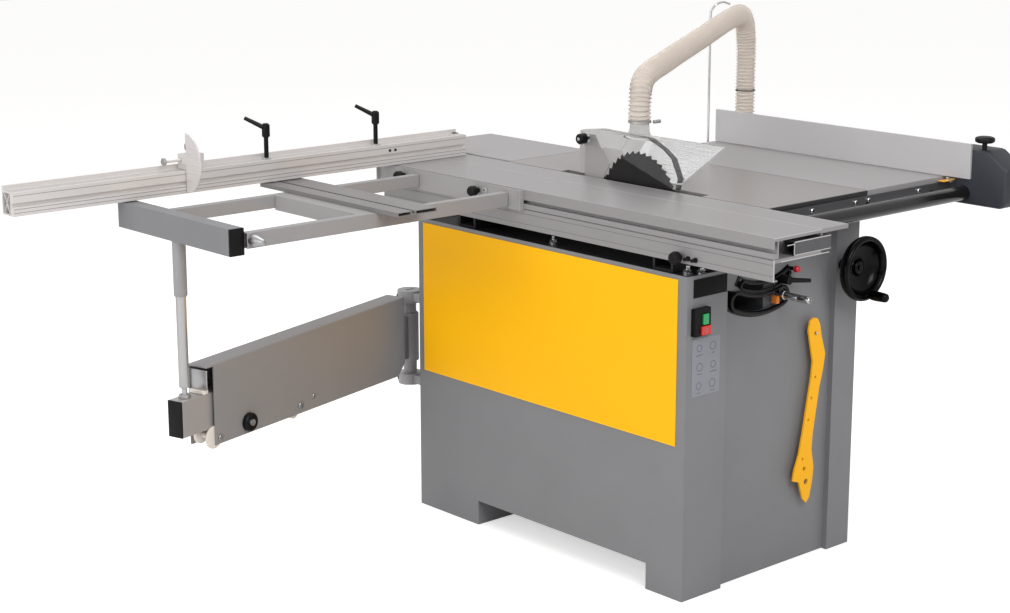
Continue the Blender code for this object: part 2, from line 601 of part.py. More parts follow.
node(
    box("outrigger_slat", SLAT_X0, SLAT_X1, 0.100, 0.615, SLAT_Z0, OUT_Z1), "carriage", ALU,
    cut=[
        box("c", -0.600, -0.592, 0.09, 0.63, SLAT_Z0 + 0.003, OUT_Z1 + 0.01),
        box("c", SLAT_X0 + 0.003, -0.604, 0.09, 0.63, SLAT_Z0 + 0.002, OUT_Z1 - 0.002),
        box("c", -0.588, SLAT_X1 - 0.003, 0.09, 0.63, SLAT_Z0 + 0.002, OUT_Z1 - 0.002),
    ],
)
for name, of_body, y in (("outrigger_knob_front", "knob_front", 0.281), ("outrigger_knob_rear", "knob_rear", 0.558)):
    node(
        lathe(name, "x", (0, y, OUT_Z1 - 0.019),
              [(0, BAR_END), (0.006, BAR_END), (0.006, BAR_END - 0.0094), (0.0125, BAR_END - 0.0114),
               (0.0125, BAR_END - 0.0234), (0.009, BAR_END - 0.0284), (0, BAR_END - 0.0284)], 16),
        of_body, DARK,
    )

# ---------------------------------------------------------------- crosscut fence
C1 = CROSS_Y0 + CROSS_D
GROOVE_Z = CROSS_Z0 + 0.0204
node(
    prism("crosscut_fence", "x", [
        (CROSS_Y0, CROSS_Z0), (C1, CROSS_Z0), (C1, CROSS_TOP + CROSS_RIB), (C1 - 0.007, CROSS_TOP + CROSS_RIB),
        (C1 - 0.007, CROSS_TOP), (CROSS_Y0, CROSS_TOP), (CROSS_Y0, GROOVE_Z + 0.008), (CROSS_Y0 + 0.008, GROOVE_Z + 0.008),
        (CROSS_Y0 + 0.008, GROOVE_Z), (CROSS_Y0, GROOVE_Z)], CROSS_LEFT, CROSS_RIGHT),
    "swing_fence", ALU,
    cut=[box("c", CROSS_LEFT - 0.01, CROSS_RIGHT + 0.01, CROSS_Y0 + 0.012, C1 - 0.004, CROSS_Z0 + 0.004, CROSS_TOP - 0.004)],
)
for name, of_body, x in (("fence_lever_inner", "lever_in", SWING_X), ("fence_lever_outer", "lever_out", LEVER_X)):
    node(
        lathe(name, "z", (x, LEVER_Y - 0.004, 0),
              [(0, CROSS_TOP + GAP), (0.0055, CROSS_TOP + GAP), (0.0055, CROSS_TOP + 0.049), (0.0095, CROSS_TOP + 0.053),
               (0.0095, CROSS_TOP + 0.079), (0.006, CROSS_TOP + 0.083), (0, CROSS_TOP + 0.083)], 16),
        of_body, DARK,
        joined=[rod("r", (x, LEVER_Y - 0.004, CROSS_TOP + 0.071), (x - 0.043, LEVER_Y + 0.019, CROSS_TOP + 0.097),
                    0.006, 0.0045, 10)],
    )
SX, (SY, SZ) = STOP_X, STOP_AXIS
node(
    box("flip_stop_block", SX, SX + 0.050, CROSS_Y0 + 0.006, C1 - 0.0095, CROSS_TOP + GAP, SZ + 0.012),
    "stop_slide", ALU,
    joined=[cylinder("r", "x", (0, SY, SZ), 0.004, SX - 0.046, SX + 0.005, 16),
            cylinder("r", "x", (0, SY, SZ), 0.0075, SX - 0.050, SX - 0.044, 16)],
)
FLAP = [(CROSS_Y0 - 0.002, FENCE_Z0), (CROSS_Y0 - 0.002, SZ - 0.010), (SY + 0.008, SZ - 0.010), (SY + 0.008, SZ + 0.012),
        (CROSS_Y0 - 0.002, SZ + 0.016), (CROSS_Y0 - 0.002, FENCE_Z0 + 0.135)]
for k in range(1, 10):
    a = math.pi * k / 10
    FLAP.append((CROSS_Y0 - 0.002 - 0.060 * math.sin(a), FENCE_Z0 + 0.0675 + 0.0675 * math.cos(a)))
node(
    prism("flip_stop_plate", "x", FLAP, SX - GAP - 0.0036, SX - GAP), "stop_flap", ALU,
    cut=[cylinder("c", "x", (0, SY, SZ), 0.0044, SX - 0.02, SX + 0.01, 16)],
)

# ---------------------------------------------------------------- tilting blade unit
FRONT_Y = RECESS_Y + SHEET + GAP
FRAME_TOP = TABLE_Z - 0.050
node(
    prism("tilt_frame", "x", [
        (FRONT_Y, FRAME_TOP - 0.200), (-0.150, FRAME_TOP - 0.305), (0.230, FRAME_TOP - 0.305), (0.300, FRAME_TOP - 0.240),
        (0.300, FRAME_TOP), (0.220, FRAME_TOP), (0.220, FRAME_TOP - 0.285), (-0.140, FRAME_TOP - 0.285),
        (-0.140, FRAME_TOP), (FRONT_Y, FRAME_TOP)], 0.0100, 0.0180),
    "tilt_unit", PAINT,
    joined=[box("j", 0.0105, 0.085, FRONT_Y, FRONT_Y + 0.008, FRAME_TOP - 0.190, FRAME_TOP - 0.005)],
    cut=[
        cylinder("c", "y", (SHAFT_X, 0, SHAFT_Z), 0.0068, -0.45, -0.30, 16),
        cylinder("c", "y", (CLAMP_X, 0, CLAMP_Z), 0.0043, -0.45, -0.30, 16),
    ],
)
node(
    lathe("height_shaft", "y", (SHAFT_X, 0, SHAFT_Z),
          [(0, -0.477), (0.0045, -0.477), (0.0065, -0.475), (0.0065, -0.300), (0, -0.300)], 16),
    "height_crank", STEEL,
    cut=[box("c", SHAFT_X - 0.0015, SHAFT_X + 0.0015, -0.48, -0.472, SHAFT_Z - 0.01, SHAFT_Z + 0.01)],
)
node(
    cylinder("tilt_clamp_lever", "y", (CLAMP_X, 0, CLAMP_Z), 0.0039, -0.400, -0.362, 12),
    "tilt_clamp", DARK,
    joined=[cylinder("j", "y", (CLAMP_X, 0, CLAMP_Z), 0.010, -0.412, -0.386, 16),
            rod("j", (CLAMP_X, -0.406, CLAMP_Z), (CLAMP_X + 0.048, -0.430, CLAMP_Z - 0.004), 0.006, 0.0045, 10)],
)

KNIFE_Y = BLADE_R + 0.013
# carrier with its arbor tube, motor flange and knife bracket
node(
    box("arbor_housing", 0.0183, 0.028, -0.170, 0.250, BLADE_Z - 0.241, BLADE_Z - 0.003),
    "blade_carrier", STEEL,
    joined=[
        cylinder("j", "x", (0, 0, BLADE_Z), 0.027, 0.0120, 0.0880, 24),
        box("j", 0.020, 0.1200, 0.062, 0.178, BLADE_Z - 0.2395, BLADE_Z - 0.226),
        box("j", 0.1165, 0.1245, 0.060, 0.180, BLADE_Z - 0.2405, BLADE_Z - 0.113),
        box("j", 0.0013, 0.020, KNIFE_Y, KNIFE_Y + 0.032, BLADE_Z - 0.103, BLADE_Z - 0.058),
    ],
    cut=[cylinder("c", "x", (0, 0, BLADE_Z), 0.0128, 0.0, 0.1, 24),
         cylinder("c", "x", (0, MOTOR_AT[0], MOTOR_AT[1]), 0.0125, 0.10, 0.13, 16)],
)
node(
    lathe("motor", "x", (0, MOTOR_AT[0], MOTOR_AT[1]),
          [(0, 0.142), (0.0104, 0.142), (0.0104, 0.1248), (0.058, 0.1248), (0.065, 0.130), (0.065, 0.275), (0.055, 0.285), (0, 0.285)], 28),
    "blade_carrier", PAINT,
)
KNIFE_TOP = KNOB_AT[1] + 0.010
KNIFE = [(KNIFE_Y, BLADE_Z - 0.103), (KNIFE_Y + 0.032, BLADE_Z - 0.103), (KNIFE_Y + 0.044, BLADE_Z - 0.043),
         (KNIFE_Y + 0.047, BLADE_Z + 0.047), (KNIFE_Y + 0.046, KNIFE_TOP), (KNOB_AT[0] + 0.0041, KNIFE_TOP),
         (KNOB_AT[0] + 0.0041, KNIFE_TOP - 0.020), (KNOB_AT[0] - 0.0041, KNIFE_TOP - 0.020),
         (KNOB_AT[0] - 0.0041, KNIFE_TOP), (KNIFE_Y + 0.008, KNIFE_TOP), (KNIFE_Y - 0.004, KNIFE_TOP - 0.020)]
for k in range(0, 7):
    a = math.radians(40 - 12 * k)
    KNIFE.append(((BLADE_R + 0.0045) * math.cos(a), BLADE_Z + (BLADE_R + 0.0045) * math.sin(a)))
node(prism("riving_knife", "x", KNIFE, -0.0010, 0.0010), "blade_carrier", STEEL)


def loop(extra):
    """Outline of a belt round both pulleys, this far outside them."""
    y1, z1 = MOTOR_AT
    reach = math.hypot(y1, z1 - BLADE_Z)
    heading = math.atan2(z1 - BLADE_Z, y1)
    lean = math.acos((ARBOR_PULLEY_R - MOTOR_PULLEY_R) / reach)
    out = []
    for cy, cz, r, a0, a1 in ((0.0, BLADE_Z, ARBOR_PULLEY_R, heading + lean, heading + 2 * math.pi - lean),
                              (y1, z1, MOTOR_PULLEY_R, heading - lean, heading + lean)):
        for k in range(9):
            a = a0 + (a1 - a0) * k / 8
            out.append((cy + (r + extra) * math.cos(a), cz + (r + extra) * math.sin(a)))
    return out


ARBOR_PULLEY_R = 0.028
MOTOR_PULLEY_R = 0.035
node(prism("drive_belt", "x", loop(0.0042), 0.0970, 0.1130), "blade_carrier", DARK,
     cut=[prism("c", "x", loop(0.0012), 0.09, 0.12)])

TOOTHED = []
for k in range(TEETH):
    a = 2 * math.pi * k / TEETH
    step = 2 * math.pi / TEETH
    TOOTHED.append((BLADE_R * math.cos(a), BLADE_Z + BLADE_R * math.sin(a)))
    TOOTHED.append(((BLADE_R - 0.0075) * math.cos(a + 0.16 * step), BLADE_Z + (BLADE_R - 0.0075) * math.sin(a + 0.16 * step)))
    TOOTHED.append(((BLADE_R - 0.0045) * math.cos(a + 0.55 * step), BLADE_Z + (BLADE_R - 0.0045) * math.sin(a + 0.55 * step)))
node(prism("saw_blade", "x", TOOTHED, -BLADE_T / 2, BLADE_T / 2), "spindle", DARK,
     cut=[cylinder("c", "x", (0, 0, BLADE_Z), 0.0150, -0.01, 0.01, 24)])
HALF = BLADE_T / 2 + GAP
node(
    lathe("arbor_shaft", "x", (0, 0, BLADE_Z),
          [(0, -0.0130), (0.0115, -0.0130), (0.0115, -0.0070), (0.020, -0.0066), (0.020, -HALF), (0.0147, -HALF), (0.0147, HALF),
           (0.033, HALF), (0.033, 0.0080), (0.0125, 0.0080), (0.0125, 0.1160), (0, 0.1160)], 24),
    "spindle", STEEL,
)
node(cylinder("arbor_pulley", "x", (0, 0, BLADE_Z), ARBOR_PULLEY_R, 0.0950, 0.1150), "spindle", STEEL,
     cut=[cylinder("c", "x", (0, 0, BLADE_Z), 0.0128, 0.08, 0.13, 24)])
node(
    lathe("motor_pulley", "x", (0, MOTOR_AT[0], MOTOR_AT[1]),
          [(0, 0.0950), (MOTOR_PULLEY_R, 0.0950), (MOTOR_PULLEY_R, 0.1150), (0.0100, 0.1150), (0.0100, 0.1400), (0, 0.1400)], 24),
    "motor_rotor", STEEL,
)

# ---------------------------------------------------------------- clear guard, its knob, the hose
# the hood clears the blade by a wall and an air gap, front, rear and above
GUARD_Y0 = 0.003 - BLADE_R
GUARD_Y1 = BLADE_R + 0.068
GUARD = [(GUARD_Y0, FENCE_Z0), (GUARD_Y1, FENCE_Z0), (GUARD_Y1 + 0.003, TABLE_Z + 0.050), (GUARD_Y1 - 0.003, TABLE_Z + 0.108),
         (GUARD_Y1 - 0.066, TABLE_Z + 0.116), (-0.035, TABLE_Z + 0.112), (GUARD_Y0 + 0.042, TABLE_Z + 0.094),
         (GUARD_Y0 + 0.012, TABLE_Z + 0.0745), (GUARD_Y0 - 0.010, TABLE_Z + 0.030)]
GUARD_IN = [(GUARD_Y0 + 0.004, TABLE_Z - 0.007), (GUARD_Y1 - 0.004, TABLE_Z - 0.007), (GUARD_Y1, TABLE_Z + 0.050),
            (GUARD_Y1 - 0.006, TABLE_Z + 0.1045), (GUARD_Y1 - 0.066, TABLE_Z + 0.1125), (-0.035, TABLE_Z + 0.1085),
            (GUARD_Y0 + 0.042, TABLE_Z + 0.0905), (GUARD_Y0 + 0.015, TABLE_Z + 0.0725), (GUARD_Y0 - 0.0065, TABLE_Z + 0.030)]
GUARD_T = 0.0025
node(
    prism("guard", "x", GUARD, -0.0120, 0.0120), "guard_unit", CLEAR,
    joined=[
        prism("j", "y", [(0.0100, TABLE_Z + 0.0105), (0.0100, TABLE_Z + 0.0160), (0.0860, TABLE_Z + 0.0960),
                         (0.0885, TABLE_Z + 0.0935)], -0.118, 0.110),
        lathe("j", "z", (NECK[0], NECK[1], 0), [(0, NECK[2] - 0.040), (0.0115, NECK[2] - 0.040), (HOSE_R, NECK[2] - 0.016),
                                                   (HOSE_R, NECK[2]), (0, NECK[2])], 24),
    ],
    cut=[
        prism("c", "x", GUARD_IN, -0.0120 + GUARD_T, 0.0120 - GUARD_T),
        lathe("c", "z", (NECK[0], NECK[1], 0), [(0, NECK[2] - 0.0345), (0.0085, NECK[2] - 0.0345), (HOSE_R - 0.0025, NECK[2] - 0.012),
                                                  (HOSE_R - 0.0025, NECK[2] + 0.01), (0, NECK[2] + 0.01)], 24),
        cylinder("c", "x", (0, KNOB_AT[0], KNOB_AT[1]), 0.0040, -0.03, 0.0, 16),
    ],
)
node(
    lathe("guard_knob", "x", (0, KNOB_AT[0], KNOB_AT[1]),
          [(0, -0.036), (0.010, -0.036), (0.0127, -0.033), (0.0127, -0.0165), (0.009, -0.0123), (0.0036, -0.0123), (0.0036, 0.0060), (0, 0.0060)], 20),
    "guard_screw", DARK,
)
HOSE = smooth_path([
    (NECK[0], NECK[1], NECK[2] + GAP), (NECK[0], NECK[1], NECK[2] + 0.050), (0.040, 0.030, 1.092), (0.200, 0.110, 1.115),
    (0.430, 0.215, 1.145), (0.640, 0.310, 1.173), (0.735, 0.352, 1.174), (0.772, 0.368, 1.110), (0.776, 0.370, 0.980),
    (0.776, 0.370, 0.800), (0.770, 0.360, 0.620), (0.730, 0.325, 0.450), (0.620, 0.240, 0.350), (0.500, PORT[1], PORT[2]),
    (0.430, PORT[1], PORT[2]), (PORT[0] + GAP, PORT[1], PORT[2])], 0.100)
node(piped("dust_hose", HOSE, HOSE_R, 3), "stand", CLEAR)
node(
    lathe("dust_port", "x", (0, PORT[1], PORT[2]),
          [(0.0225, CAB_RIGHT + GAP), (0.040, CAB_RIGHT + GAP), (0.040, CAB_RIGHT + 0.004), (0.0265, CAB_RIGHT + 0.006),
           (0.0265, PORT[0]), (0.0225, PORT[0]), (0.0225, CAB_RIGHT + GAP)], 24),
    "stand", DARK,
)
ROD_X, ROD_Y = 0.6027, RIGHT_EXT_REAR + GAP + 0.003
ROD = [(ROD_X, ROD_Y, TABLE_Z - 0.028), (ROD_X, ROD_Y, 1.000), (ROD_X, ROD_Y, 1.175)]
ROD += smooth_path([(ROD_X, ROD_Y, 1.192), (ROD_X + 0.010, ROD_Y - 0.005, 1.208), (ROD_X + 0.030, ROD_Y - 0.013, 1.217),
                    (ROD_X + 0.050, ROD_Y - 0.022, 1.211)], 0.008)
node(piped("hose_rod", ROD, 0.003, 2), "stand", STEEL)

# ---------------------------------------------------------------- support arm
px, py = PIVOT
LUG_HALF = 0.0105
node(
    lathe("hinge_column", "z", (px, py, 0),
          [(0, 0.277), (0.031, 0.277), (0.031, 0.305), (COLUMN_R, 0.305), (COLUMN_R, 0.489), (0.031, 0.489), (0.031, 0.520), (0, 0.520)], 24),
    "stand", PAINT,
    joined=[box("j", px - LUG_HALF, px + LUG_HALF, CAB_REAR + GAP, py - 0.0223, z, z + 0.021) for z in (0.281, 0.494)],
)
node(
    along_arm("support_arm", [
        (0.014, 0.340), (0.014, 0.458), (0.042, 0.458), (0.042, ARM_Z1), (ARM_END, ARM_Z1), (ARM_END, 0.329),
        (0.745, 0.329), (0.745, ARM_Z0), (0.070, ARM_Z0), (0.040, 0.340)], ARM_W / 2),
    "arm", PAINT,
    joined=[cylinder("j", "z", (px, py, 0), 0.0225, 0.337, 0.461, 24)],
    cut=[
        along_arm("c", [(0.060, ARM_Z0 + 0.003), (0.060, ARM_Z1 - 0.003), (ARM_END + 0.02, ARM_Z1 - 0.003), (ARM_END + 0.02, 0.300), (0.760, 0.300), (0.745, ARM_Z0 + 0.003)], ARM_W / 2 - 0.003),
        cylinder("c", "z", (px, py, 0), COLUMN_R + GAP, 0.30, 0.50, 24),
    ],
)
node(
    along_arm("telescopic_tube", [(0.350, TUBE_Z0), (0.350, TUBE_Z0 + TUBE_H), (ARM_REACH + 0.030, TUBE_Z0 + TUBE_H), (ARM_REACH + 0.030, TUBE_Z0)], TUBE_W / 2),
    "telescope", ALU,
    cut=[along_arm("c", [(0.340, TUBE_Z0 + 0.0025), (0.340, TUBE_Z0 + TUBE_H - 0.0025), (ARM_REACH + 0.027, TUBE_Z0 + TUBE_H - 0.0025), (ARM_REACH + 0.027, TUBE_Z0 + 0.0025)], TUBE_W / 2 - 0.0025)],
)
node(
    lathe("support_strut", "z", (STRUT[0], STRUT[1], 0),
          [(0, TUBE_Z0 + TUBE_H + GAP), (0.014, TUBE_Z0 + TUBE_H + GAP), (0.014, 0.4576), (0.010, 0.4576), (0.010, 0.667), (0.012, 0.667), (0.012, END_Z0 - 0.0005), (0, END_Z0 - 0.0005)], 20),
    "telescope", STEEL,
)
roller = lathe("arm_roller", "y", (0, 0, 0), [(0, -0.016), (0.018, -0.016), (ROLLER_R, -0.012), (ROLLER_R, 0.012), (0.018, 0.016), (0, 0.016)], 20)
roller.data.transform(Matrix.Translation(ROLLER_AT) @ Matrix.Rotation(math.atan2(ARM_DIR.y, ARM_DIR.x), 4, "Z"))
node(roller, "roller", DARK)
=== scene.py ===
import math
import bpy
from mathutils import Matrix, Vector


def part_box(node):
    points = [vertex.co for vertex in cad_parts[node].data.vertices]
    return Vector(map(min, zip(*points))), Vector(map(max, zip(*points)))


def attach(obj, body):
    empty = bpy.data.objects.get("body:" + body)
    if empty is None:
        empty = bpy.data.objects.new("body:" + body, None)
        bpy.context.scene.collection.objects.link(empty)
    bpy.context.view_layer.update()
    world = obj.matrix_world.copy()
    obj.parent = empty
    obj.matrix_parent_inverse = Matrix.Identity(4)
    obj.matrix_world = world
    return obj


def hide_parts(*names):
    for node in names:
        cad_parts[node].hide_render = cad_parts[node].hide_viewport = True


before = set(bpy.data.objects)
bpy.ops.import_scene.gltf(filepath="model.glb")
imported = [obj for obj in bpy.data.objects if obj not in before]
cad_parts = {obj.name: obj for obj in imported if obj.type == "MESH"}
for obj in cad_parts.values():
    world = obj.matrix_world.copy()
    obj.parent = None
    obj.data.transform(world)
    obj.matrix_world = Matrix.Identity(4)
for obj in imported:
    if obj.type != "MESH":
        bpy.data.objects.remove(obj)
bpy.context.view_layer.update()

C = bpy.context
O = bpy.ops
O.object.select_all(action="DESELECT")

# The blade stands on the machine's own zero: X at the blade plane, Y at the arbor, Z at the floor.
# Every place below is given from there and moved into the row frame by at().
blade_low, blade_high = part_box("saw_blade")
ZERO = Vector(((blade_low[0] + blade_high[0]) / 2, (blade_low[1] + blade_high[1]) / 2, 0))


def at(x, y, z):
    """A place of the machine, moved into the row frame."""
    return (x + ZERO.x, y + ZERO.y, z)


def local(corner):
    """A corner of the row frame, given as a place of the machine."""
    return Vector(corner) - ZERO


TABLE_TOP = 0.8500
FRONT = -0.3970            # the cabinet's front sheet
ARC_HIGH = 0.85            # the tilt slots curve about the table's top
SLIDE_NEAR, SLIDE_FAR = -0.6278, 0.6448
SLIDE_SIDE = -0.2503       # the left side of carriage and slide
FENCE_LEFT, FENCE_RIGHT = -1.2830, -0.0275
FENCE_TOP, FENCE_FACE = 0.9029, 0.5917
NECK = (0.006, 0.010)      # the guard's neck, where the hose begins
WHEEL = (0.260, 0.686)     # the handwheel's axle, X and Z
COLUMN = (-0.1855, 0.630)  # the arm's column
STRUT = (-0.995, 0.410)


# ---- Studio: pale sweep, plain soft light, a long lens at standing height.
# The floor keeps the soft contact shadow; the world behind it reads as white.
scene = C.scene
scene.view_settings.view_transform = "Standard"
lens = bpy.data.cameras.new("studio_camera")
lens.sensor_width = 36.0
lens.lens = 70.90
lens.shift_x = -0.0401
lens.shift_y = -0.0150
eye = bpy.data.objects.new("studio_camera", lens)
eye.location = at(-3.2602, -3.2087, 1.6473)
eye.rotation_euler = (math.pi / 2 - 0.2267, 0.0, -0.7454)
C.collection.objects.link(eye)
eye.rotation_euler.rotate_axis("Z", 0.0034)
scene.camera = eye

world = bpy.data.worlds.new("studio_world")
scene.world = world
world.use_nodes = True
wn, wl = world.node_tree.nodes, world.node_tree.links
wn.clear()
w_out = wn.new("ShaderNodeOutputWorld")
w_mix = wn.new("ShaderNodeMixShader")
w_soft = wn.new("ShaderNodeBackground")
w_soft.inputs["Color"].default_value = (1.0, 0.985, 0.975, 1)
w_soft.inputs["Strength"].default_value = 0.56
w_white = wn.new("ShaderNodeBackground")
w_white.inputs["Strength"].default_value = 1.0
w_path = wn.new("ShaderNodeLightPath")
w_any = wn.new("ShaderNodeMath")
w_any.operation = "MAXIMUM"
w_all = wn.new("ShaderNodeMath")
w_all.operation = "MAXIMUM"
wl.new(w_path.outputs["Is Camera Ray"], w_any.inputs[0])
wl.new(w_path.outputs["Is Transmission Ray"], w_any.inputs[1])
wl.new(w_any.outputs[0], w_all.inputs[0])
w_gloss = wn.new("ShaderNodeMath")
w_gloss.operation = "MULTIPLY"
w_gloss.inputs[1].default_value = 0.55
wl.new(w_path.outputs["Is Glossy Ray"], w_gloss.inputs[0])
wl.new(w_gloss.outputs[0], w_all.inputs[1])
wl.new(w_all.outputs[0], w_mix.inputs[0])
wl.new(w_soft.outputs[0], w_mix.inputs[1])
wl.new(w_white.outputs[0], w_mix.inputs[2])
wl.new(w_mix.outputs[0], w_out.inputs[0])

O.mesh.primitive_plane_add(size=30, location=(0, 0, 0))
floor = C.object
floor.name = "studio_floor"
floor_mat = bpy.data.materials.new("studio_floor")
floor_mat.use_nodes = True
fn, fl = floor_mat.node_tree.nodes, floor_mat.node_tree.links
fn.clear()
f_out = fn.new("ShaderNodeOutputMaterial")
f_mix = fn.new("ShaderNodeMixShader")
f_diff = fn.new("ShaderNodeBsdfDiffuse")
f_diff.inputs["Color"].default_value = (0.80, 0.80, 0.80, 1)
f_glow = fn.new("ShaderNodeEmission")
f_glow.inputs["Strength"].default_value = 0.52
f_path = fn.new("ShaderNodeLightPath")
f_add = fn.new("ShaderNodeAddShader")
fl.new(f_path.outputs["Is Camera Ray"], f_mix.inputs[0])
fl.new(f_diff.outputs[0], f_mix.inputs[1])
fl.new(f_diff.outputs[0], f_add.inputs[0])
fl.new(f_glow.outputs[0], f_add.inputs[1])
fl.new(f_add.outputs[0], f_mix.inputs[2])
fl.new(f_mix.outputs[0], f_out.inputs[0])
floor.data.materials.append(floor_mat)

for lamp_name, place, aim, power, size, tint in (
    ("key", (-1.6, -4.2, 3.8), (0.1, 0.0, 0.6), 128, 2.6, (1, 0.99, 0.98)),
    ("left", (-5.0, 0.2, 2.4), (-0.2, 0.2, 0.5), 92, 2.8, (1, 0.995, 0.99)),
    ("top", (0.6, 1.6, 4.2), (0.0, 0.0, 0.7), 62, 3.2, (1, 0.99, 0.98)),
):
    light = bpy.data.lights.new(lamp_name, "AREA")
    light.energy = power
    light.size = size
    light.color = tint
    lamp = bpy.data.objects.new(lamp_name, light)
    lamp.location = at(*place)
    lamp.rotation_euler = (Vector(at(*aim)) - lamp.location).to_track_quat("-Z", "Y").to_euler()
    C.collection.objects.link(lamp)


# ---- Cabinet: folded steel sheet, welded and powder-coated mid gray, with a
# fine orange-peel skin; its edges are folds about a millimetre in radius.
def finish(name, colour, rough, metal=0.0, grain=0.0, grain_size=900.0, stretch=(1, 1, 1), mottle=0.03,
           coat=0.0, specular=0.5):
    """A finish with slow colour variation, and fine relief; stretch lengthens the grain along an axis."""
    made = bpy.data.materials.new(name)
    made.use_nodes = True
    nodes, links = made.node_tree.nodes, made.node_tree.links
    skin = nodes["Principled BSDF"]
    skin.inputs["Metallic"].default_value = metal
    skin.inputs["Coat Weight"].default_value = coat
    skin.inputs["Coat Roughness"].default_value = 0.25
    skin.inputs["Specular IOR Level"].default_value = specular
    where = nodes.new("ShaderNodeTexCoord")
    fit = nodes.new("ShaderNodeMapping")
    fit.inputs["Scale"].default_value = stretch
    links.new(where.outputs["Object"], fit.inputs["Vector"])
    slow = nodes.new("ShaderNodeTexNoise")
    slow.inputs["Scale"].default_value = 7.0
    slow.inputs["Detail"].default_value = 6.0
    links.new(where.outputs["Object"], slow.inputs["Vector"])
    fine = nodes.new("ShaderNodeTexNoise")
    fine.inputs["Scale"].default_value = grain_size
    fine.inputs["Detail"].default_value = 3.0
    links.new(fit.outputs["Vector"], fine.inputs["Vector"])
    tone = nodes.new("ShaderNodeMapRange")
    tone.inputs["From Min"].default_value = 0.3
    tone.inputs["From Max"].default_value = 0.7
    tone.inputs["To Min"].default_value = 1.0 - mottle
    tone.inputs["To Max"].default_value = 1.0 + mottle
    links.new(slow.outputs["Fac"], tone.inputs["Value"])
    paint = nodes.new("ShaderNodeMix")
    paint.data_type = "RGBA"
    paint.blend_type = "MULTIPLY"
    paint.inputs["Factor"].default_value = 1.0
    paint.inputs["A"].default_value = (*colour, 1)
    links.new(tone.outputs["Result"], paint.inputs["B"])
    links.new(paint.outputs["Result"], skin.inputs["Base Color"])
    sheen = nodes.new("ShaderNodeMapRange")
    sheen.inputs["To Min"].default_value = rough - 0.05
    sheen.inputs["To Max"].default_value = rough + 0.05
    links.new(fine.outputs["Fac"], sheen.inputs["Value"])
    links.new(sheen.outputs["Result"], skin.inputs["Roughness"])
    relief = nodes.new("ShaderNodeBump")
    relief.inputs["Strength"].default_value = grain
    relief.inputs["Distance"].default_value = 0.0004
    links.new(fine.outputs["Fac"], relief.inputs["Height"])
    links.new(relief.outputs["Normal"], skin.inputs["Normal"])
    return made


def lin(r, g, b):
    """A colour as a paint card gives it, 0 to 255, made linear."""
    return tuple(v / 255 / 12.92 if v / 255 <= 0.04045 else ((v / 255 + 0.055) / 1.055) ** 2.4
                 for v in (r, g, b))


def dress(name, paint, edge=0.0008):
    """Gives a CAD piece its finish and its small edge radius."""
    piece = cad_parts[name]
    piece.data.materials.clear()
    piece.data.materials.append(paint)
    weld = piece.modifiers.new("weld", "WELD")
    weld.merge_threshold = 0.00002
    if edge:
        soft = piece.modifiers.new("edge", "BEVEL")
        soft.width = edge
        soft.segments = 2
        soft.limit_method = "ANGLE"
        soft.angle_limit = math.radians(40)
        soft.harden_normals = True
        soft.use_clamp_overlap = True
    return piece


gray_paint = finish("gray_powder_coat", lin(124, 125, 128), 0.46, grain=0.25, grain_size=1400)
dress("cabinet_shell", gray_paint, 0.0022)


# ---- Small cabinet fittings: a black blanking plate and an instruction label,
# bare of lettering but for simple printed signs. Both are stuck or screwed to the front sheet.
def block(name, x0, x1, y0, y1, z0, z1, edge, paint, body):
    """A cube brought to its size and place, with its edges rounded."""
    O.object.select_all(action="DESELECT")
    O.mesh.primitive_cube_add(size=1)
    piece = C.object
    piece.name = name
    piece.scale = (x1 - x0, y1 - y0, z1 - z0)
    piece.location = at((x0 + x1) / 2, (y0 + y1) / 2, (z0 + z1) / 2)
    O.object.transform_apply(location=True, rotation=True, scale=True)
    O.object.mode_set(mode="EDIT")
    O.mesh.select_all(action="SELECT")
    if edge:
        O.mesh.bevel(offset=edge, segments=3, affect="EDGES", clamp_overlap=True)
    O.object.mode_set(mode="OBJECT")
    O.object.shade_smooth_by_angle(angle=math.radians(35))
    piece.data.materials.append(paint)
    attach(piece, body)
    return piece


def ring_mark(name, place, radius, thick, squash, paint, body):
    """A thin printed ring on the front, from a torus."""
    O.object.select_all(action="DESELECT")
    O.mesh.primitive_torus_add(location=(0, 0, 0), major_radius=radius, minor_radius=thick,
                               major_segments=28, minor_segments=6)
    ring = C.object
    ring.name = name
    ring.data.transform(Matrix.Translation(at(*place)) @ Matrix.Rotation(math.pi / 2, 4, "X")
                        @ Matrix.Diagonal((1, 1, squash, 1)))
    ring.data.materials.append(paint)
    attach(ring, body)


black_plastic = finish("black_plastic", lin(8, 8, 9), 0.42, grain=0.3, grain_size=1600, specular=0.22)
black_gloss = finish("black_display", lin(6, 6, 7), 0.5, grain=0.05, specular=0.15)
label_film = finish("label_film", lin(136, 138, 146), 0.42, grain=0.05, mottle=0.02)
label_ink = finish("label_ink", lin(96, 98, 106), 0.5, grain=0.05)
block("blanking_plate", -0.237, -0.133, FRONT - 0.0022, FRONT - 0.0001, 0.683, 0.723, 0.0006, black_gloss,
    "stand")
block("instruction_label", -0.238, -0.150, FRONT - 0.0008, FRONT - 0.0001, 0.463, 0.592, 0.0003, label_film,
    "stand")
for row in range(3):
    for column in range(2):
        cx, cz = -0.216 + 0.043 * column + 0.002 * (row % 2), 0.570 - 0.042 * row
        ring_mark(f"label_sign_{row}_{column}", (cx, FRONT - 0.0011, cz),
            0.0075 + 0.0015 * ((row + column) % 2), 0.0006, 0.5, label_ink, "stand")
        wide = 0.010 - 0.003 * ((row + 2 * column) % 3)
        block(f"label_line_{row}_{column}", cx - wide, cx + wide + 0.002, FRONT - 0.0013, FRONT - 0.0007,
            cz - 0.0165, cz - 0.0153, 0.0002, label_ink, "stand")

